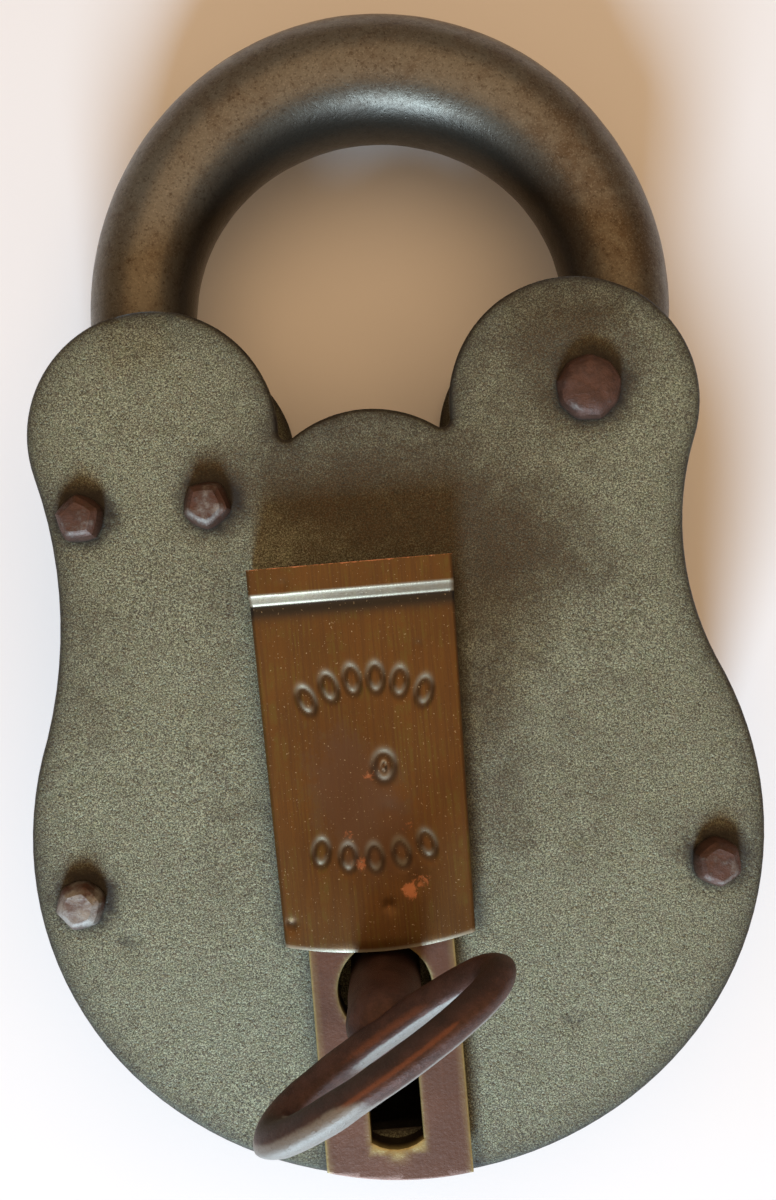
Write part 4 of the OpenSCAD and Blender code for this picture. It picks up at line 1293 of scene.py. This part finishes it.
class PADLOCK_OT_key(bpy.types.Operator):
    """Builds the pipe key: bow, shank and stepped bit"""
    bl_idname = "padlock.key"
    bl_label = "Key"

    def execute(self, context):
        s = context.scene.padlock_key
        low, high = box_mm("key")
        pin_top = box_mm("drill_pin")[1].z
        half, rise, bar_r = s.bow_width / MM / 2, s.bow_rise / MM / 2, s.band / MM / 2
        flat = s.bow_thick / MM / 2 / bar_r
        shank_r = s.shank_radius / MM
        mid_z = high.z - 6
        turn = math.radians(30.6)                   # how the key stands in the lock
        bm = bmesh.new()

        # bow: rings along an upright oval
        stops, sides = 110, 32
        first = previous = None
        path_a, path_b = half - bar_r, rise - bar_r
        power = 2.35

        def on_path(t):
            c, q = math.cos(t), math.sin(t)
            return Vector((path_a * math.copysign(abs(c) ** (2 / power), c), 0,
                           path_b * math.copysign(abs(q) ** (2 / power), q)))
        for i in range(stops):
            t = math.tau * (i + 0.37) / stops
            here = on_path(t)
            along = (on_path(t + 0.02) - on_path(t - 0.02)).normalized()
            out = along.cross(Vector((0, 1, 0)))
            lump = 1 + 0.03 * wave(here.x, here.z, 0, 3, 8)
            edges = ring(bm, Vector((here.x, 0, mid_z + here.z)), out, Vector((0, 1, 0)),
                         bar_r * lump, sides, flat, 1.65)
            if previous is None:
                first = edges
            else:
                bmesh.ops.bridge_loops(bm, edges=previous + edges)
            previous = edges
        bmesh.ops.bridge_loops(bm, edges=previous + first)

        # pipe shank, spun from its profile, with a shoulder below the bow
        top = mid_z - path_b + 0.4
        bore = 1.56
        profile = [(0, pin_top + 0.35), (bore, pin_top + 0.3), (bore, low.z + 0.12),
                   (bore + 0.12, low.z + 0.01), (shank_r - 0.3, low.z + 0.01),
                   (shank_r, low.z + 0.3), (shank_r, 20), (shank_r, FRONT + 4.5),
                   (shank_r - 0.1, FRONT + 7), (shank_r - 0.05, top - 1.9),
                   (shank_r - 0.35, top - 1.2), (shank_r - 1.1, top - 0.55),
                   (shank_r - 2.0, top - 0.2), (0, top - 0.05)]
        spin_profile(bm, profile, 56)

        # the bit's three steps, which start inside the shank
        root, bit_t = 2.4, 2.34
        bolt_low, bolt_high = box_mm("bolt")
        levers = box_mm("lever_back")[1].z, box_mm("lever_front")[1].z
        for z0, z1, reach in ((bolt_low.z - 0.6, bolt_high.z + 0.2, 12.56),
                              (bolt_high.z + 0.2, levers[0] + 0.3, 11.56),
                              (levers[0] + 0.3, levers[1] + 0.8, 11.96)):
            place = Matrix.Translation(((reach + root) / 2, 0, (z0 + z1) / 2))
            size = Matrix.Diagonal((reach - root, bit_t, z1 - z0, 1))
            made = bmesh.ops.create_cube(bm, size=1, matrix=place @ size)
            edges = {e for v in made["verts"] for e in v.link_edges
                     if all(v.co.x > reach - 0.1 for v in e.verts)}
            bevel_edges(bm, list(edges), 0.2, 2)
        for v in bm.verts:
            if v.co.z > FRONT + 5:
                shift = 0.05 * wave(*v.co, 2.2, 3)
                v.co += Vector((shift, shift, 0))

        def paint(p):
            q = Matrix.Rotation(-turn, 3, "Z") @ (p - Vector((KEY_AXIS.x, KEY_AXIS.y, 0)))
            in_bow = p.z > mid_z - rise - 0.2 and (abs(q.x) > shank_r or p.z > top)
            if not in_bow:
                up = p.z - FRONT
                return {"wear": 0.25 * bell(up - 8.0, 1.2), "rust": 0.1,
                        "edge": 0.5 if up < 0.5 else 0.0}
            reach = min(1.0, abs(q.x) / path_a)
            centre = path_b * (1 - reach ** power) ** (1 / power)
            side = q.y / (bar_r * flat)
            wear = 0.12
            rust = dark = 0.0
            if p.z < mid_z:
                off = (p.z - mid_z + centre) / bar_r
                strip = span(q.x, -4.5, -1.0) * span(-q.x, -8.6, -7.6)
                # bright band on the side toward the lamp: worn silver and painted highlight
                wear += 1.0 * span(-side, 0.0, 0.3) * span(off, 0.1, 0.4) * strip
                rust += 0.75 * bell(side - 0.35, 0.3) * span(q.x, -6, -2) * span(-q.x, -6, -3)
            else:
                off = (p.z - mid_z - centre) / bar_r
                left = span(-q.x, 0.5, 4.0)
                # bright bands on the side toward the lamp: worn silver and painted highlight
                wear += 1.0 * left * span(-side, -0.2 - 0.5 * left, 0.15 - 0.4 * left)
                wear += 0.9 * bell(side + 0.85, 0.2)
                rust += 1.0 * bell(side - 0.35, 0.16) * span(q.x, -5.5, -3) * span(-q.x, -7.5, -6)
                # painted shade on the top bar's face turned from the lamp
                dark = 0.5 * span(side, 0.5, 0.8)
            return {"wear": wear, "rust": rust, "edge": dark}
        bmesh.ops.rotate(bm, cent=(0, 0, 0), matrix=Matrix.Rotation(turn, 3, "Z"),
                         verts=bm.verts[:])
        bmesh.ops.translate(bm, vec=(KEY_AXIS.x, KEY_AXIS.y, 0), verts=bm.verts[:])
        for v in bm.verts:
            v.co.z = min(v.co.z, high.z - 0.003)
        add_piece("pipe_key", bm, "key", finish("key_iron"), ["key"], paint)
        return {"FINISHED"}


# ---------------------------------------------------------------- hidden works

class PADLOCK_OT_works(bpy.types.Operator):
    """Gives the bolt, levers, springs and pins their finishes"""
    bl_idname = "padlock.works"
    bl_label = "Inner works"

    def execute(self, context):
        for node, slot in (("keyhole_plate_rivets", "brass"), ("drill_pin", "inner_steel"),
                           ("bolt", "inner_steel"), ("bolt_stump", "inner_steel"),
                           ("bolt_guide_upper", "inner_steel"), ("bolt_guide_lower", "inner_steel"),
                           ("lever_back", "inner_steel"), ("lever_front", "inner_steel"),
                           ("lever_washer", "inner_steel"), ("lever_sleeve", "inner_steel"),
                           ("lever_spring_back", "spring_steel"),
                           ("lever_spring_front", "spring_steel")):
            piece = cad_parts[node]
            piece.data.materials.clear()
            piece.data.materials.append(finish(slot))
        return {"FINISHED"}


# ---------------------------------------------------------------- table, lights and camera

def soft_lamp(name, place, target, size, power, tint):
    """A round lamp at a place in millimetres, turned to its target."""
    lamp = bpy.data.lights.new(name, "AREA")
    lamp.shape, lamp.size, lamp.energy, lamp.color = "DISK", size * MM, power, tint
    obj = bpy.data.objects.new(name, lamp)
    bpy.context.scene.collection.objects.link(obj)
    place, target = Vector(place) * MM, Vector(target) * MM
    look = (target - place).to_track_quat("-Z", "Y").to_matrix().to_4x4()
    obj.matrix_world = Matrix.Translation(place) @ look


class PADLOCK_OT_stage(bpy.types.Operator):
    """Sets up the pale table top, the soft lamps and the camera"""
    bl_idname = "padlock.stage"
    bl_label = "Stage"

    def execute(self, context):
        scene = context.scene
        scene.view_settings.view_transform = "Standard"
        bm = bmesh.new()
        bmesh.ops.create_grid(bm, x_segments=8, y_segments=8, size=4.0)
        mesh = bpy.data.meshes.new("table_top")
        bm.to_mesh(mesh)
        bm.free()
        table = bpy.data.objects.new("table_top", mesh)
        scene.collection.objects.link(table)
        f = Finish("paper")
        f.set(Base_Color=f.mix(f.noise(0.02, 2, 0.5), srgb(238, 238, 240), srgb(232, 231, 232)),
              Roughness=0.8, Normal=f.bump(f.noise(1.4, 3, 0.6), 0.02, 0.3))
        mesh.materials.append(f.material)

        world = bpy.data.worlds.new("room")
        scene.world = world
        world.use_nodes = True
        background = world.node_tree.nodes["Background"]
        background.inputs["Color"].default_value = (0.33, 0.245, 0.17, 1)
        background.inputs["Strength"].default_value = 1.0
        soft_lamp("window", (-150, -720, 430), (0, 15, 10), 250, 12.1, (0.62, 0.82, 1.0))
        soft_lamp("warm_room", (60, 130, 560), (0, 25, 10), 800, 1.65, (1.0, 0.6, 0.28))

        camera = bpy.data.objects.new("camera", bpy.data.cameras.new("camera"))
        scene.collection.objects.link(camera)
        camera.data.sensor_fit = "VERTICAL"
        camera.data.sensor_height = 36
        camera.data.lens = 35.04
        camera.data.clip_start = 0.01
        camera.location = Vector((0.825, 19.61, 123)) * MM
        camera.rotation_euler = (0, 0, math.radians(-4.8))
        scene.camera = camera
        return {"FINISHED"}


# ---------------------------------------------------------------- panel and registration

STEPS = (PADLOCK_OT_plates, PADLOCK_OT_strips, PADLOCK_OT_rivets, PADLOCK_OT_shackle,
         PADLOCK_OT_track, PADLOCK_OT_cover, PADLOCK_OT_key, PADLOCK_OT_works, PADLOCK_OT_stage)
SETTINGS = {"padlock_case": PADLOCK_PG_case, "padlock_shackle": PADLOCK_PG_shackle,
            "padlock_cover": PADLOCK_PG_cover, "padlock_key": PADLOCK_PG_key,
            "padlock_colours": PADLOCK_PG_colours}


class PADLOCK_PT_panel(bpy.types.Panel):
    """Lists the padlock's pieces and their sizes and colours"""
    bl_label = "Padlock"
    bl_idname = "PADLOCK_PT_panel"
    bl_space_type = "VIEW_3D"
    bl_region_type = "UI"
    bl_category = "Padlock"

    def draw(self, context):
        for step in STEPS:
            self.layout.operator(step.bl_idname)
        for name in SETTINGS:
            group = getattr(context.scene, name)
            column = self.layout.column(align=True)
            for key in group.__annotations__:
                column.prop(group, key)


def register():
    for group in SETTINGS.values():
        bpy.utils.register_class(group)
    for name, group in SETTINGS.items():
        setattr(bpy.types.Scene, name, PointerProperty(type=group))
    for step in STEPS:
        bpy.utils.register_class(step)
    bpy.utils.register_class(PADLOCK_PT_panel)


def unregister():
    bpy.utils.unregister_class(PADLOCK_PT_panel)
    for step in reversed(STEPS):
        bpy.utils.unregister_class(step)
    for name in SETTINGS:
        delattr(bpy.types.Scene, name)
    for group in reversed(SETTINGS.values()):
        bpy.utils.unregister_class(group)


def main():
    register()
    for step in STEPS:
        group, name = step.bl_idname.split(".")
        getattr(getattr(bpy.ops, group), name)()


if __name__ == "__main__":
    main()
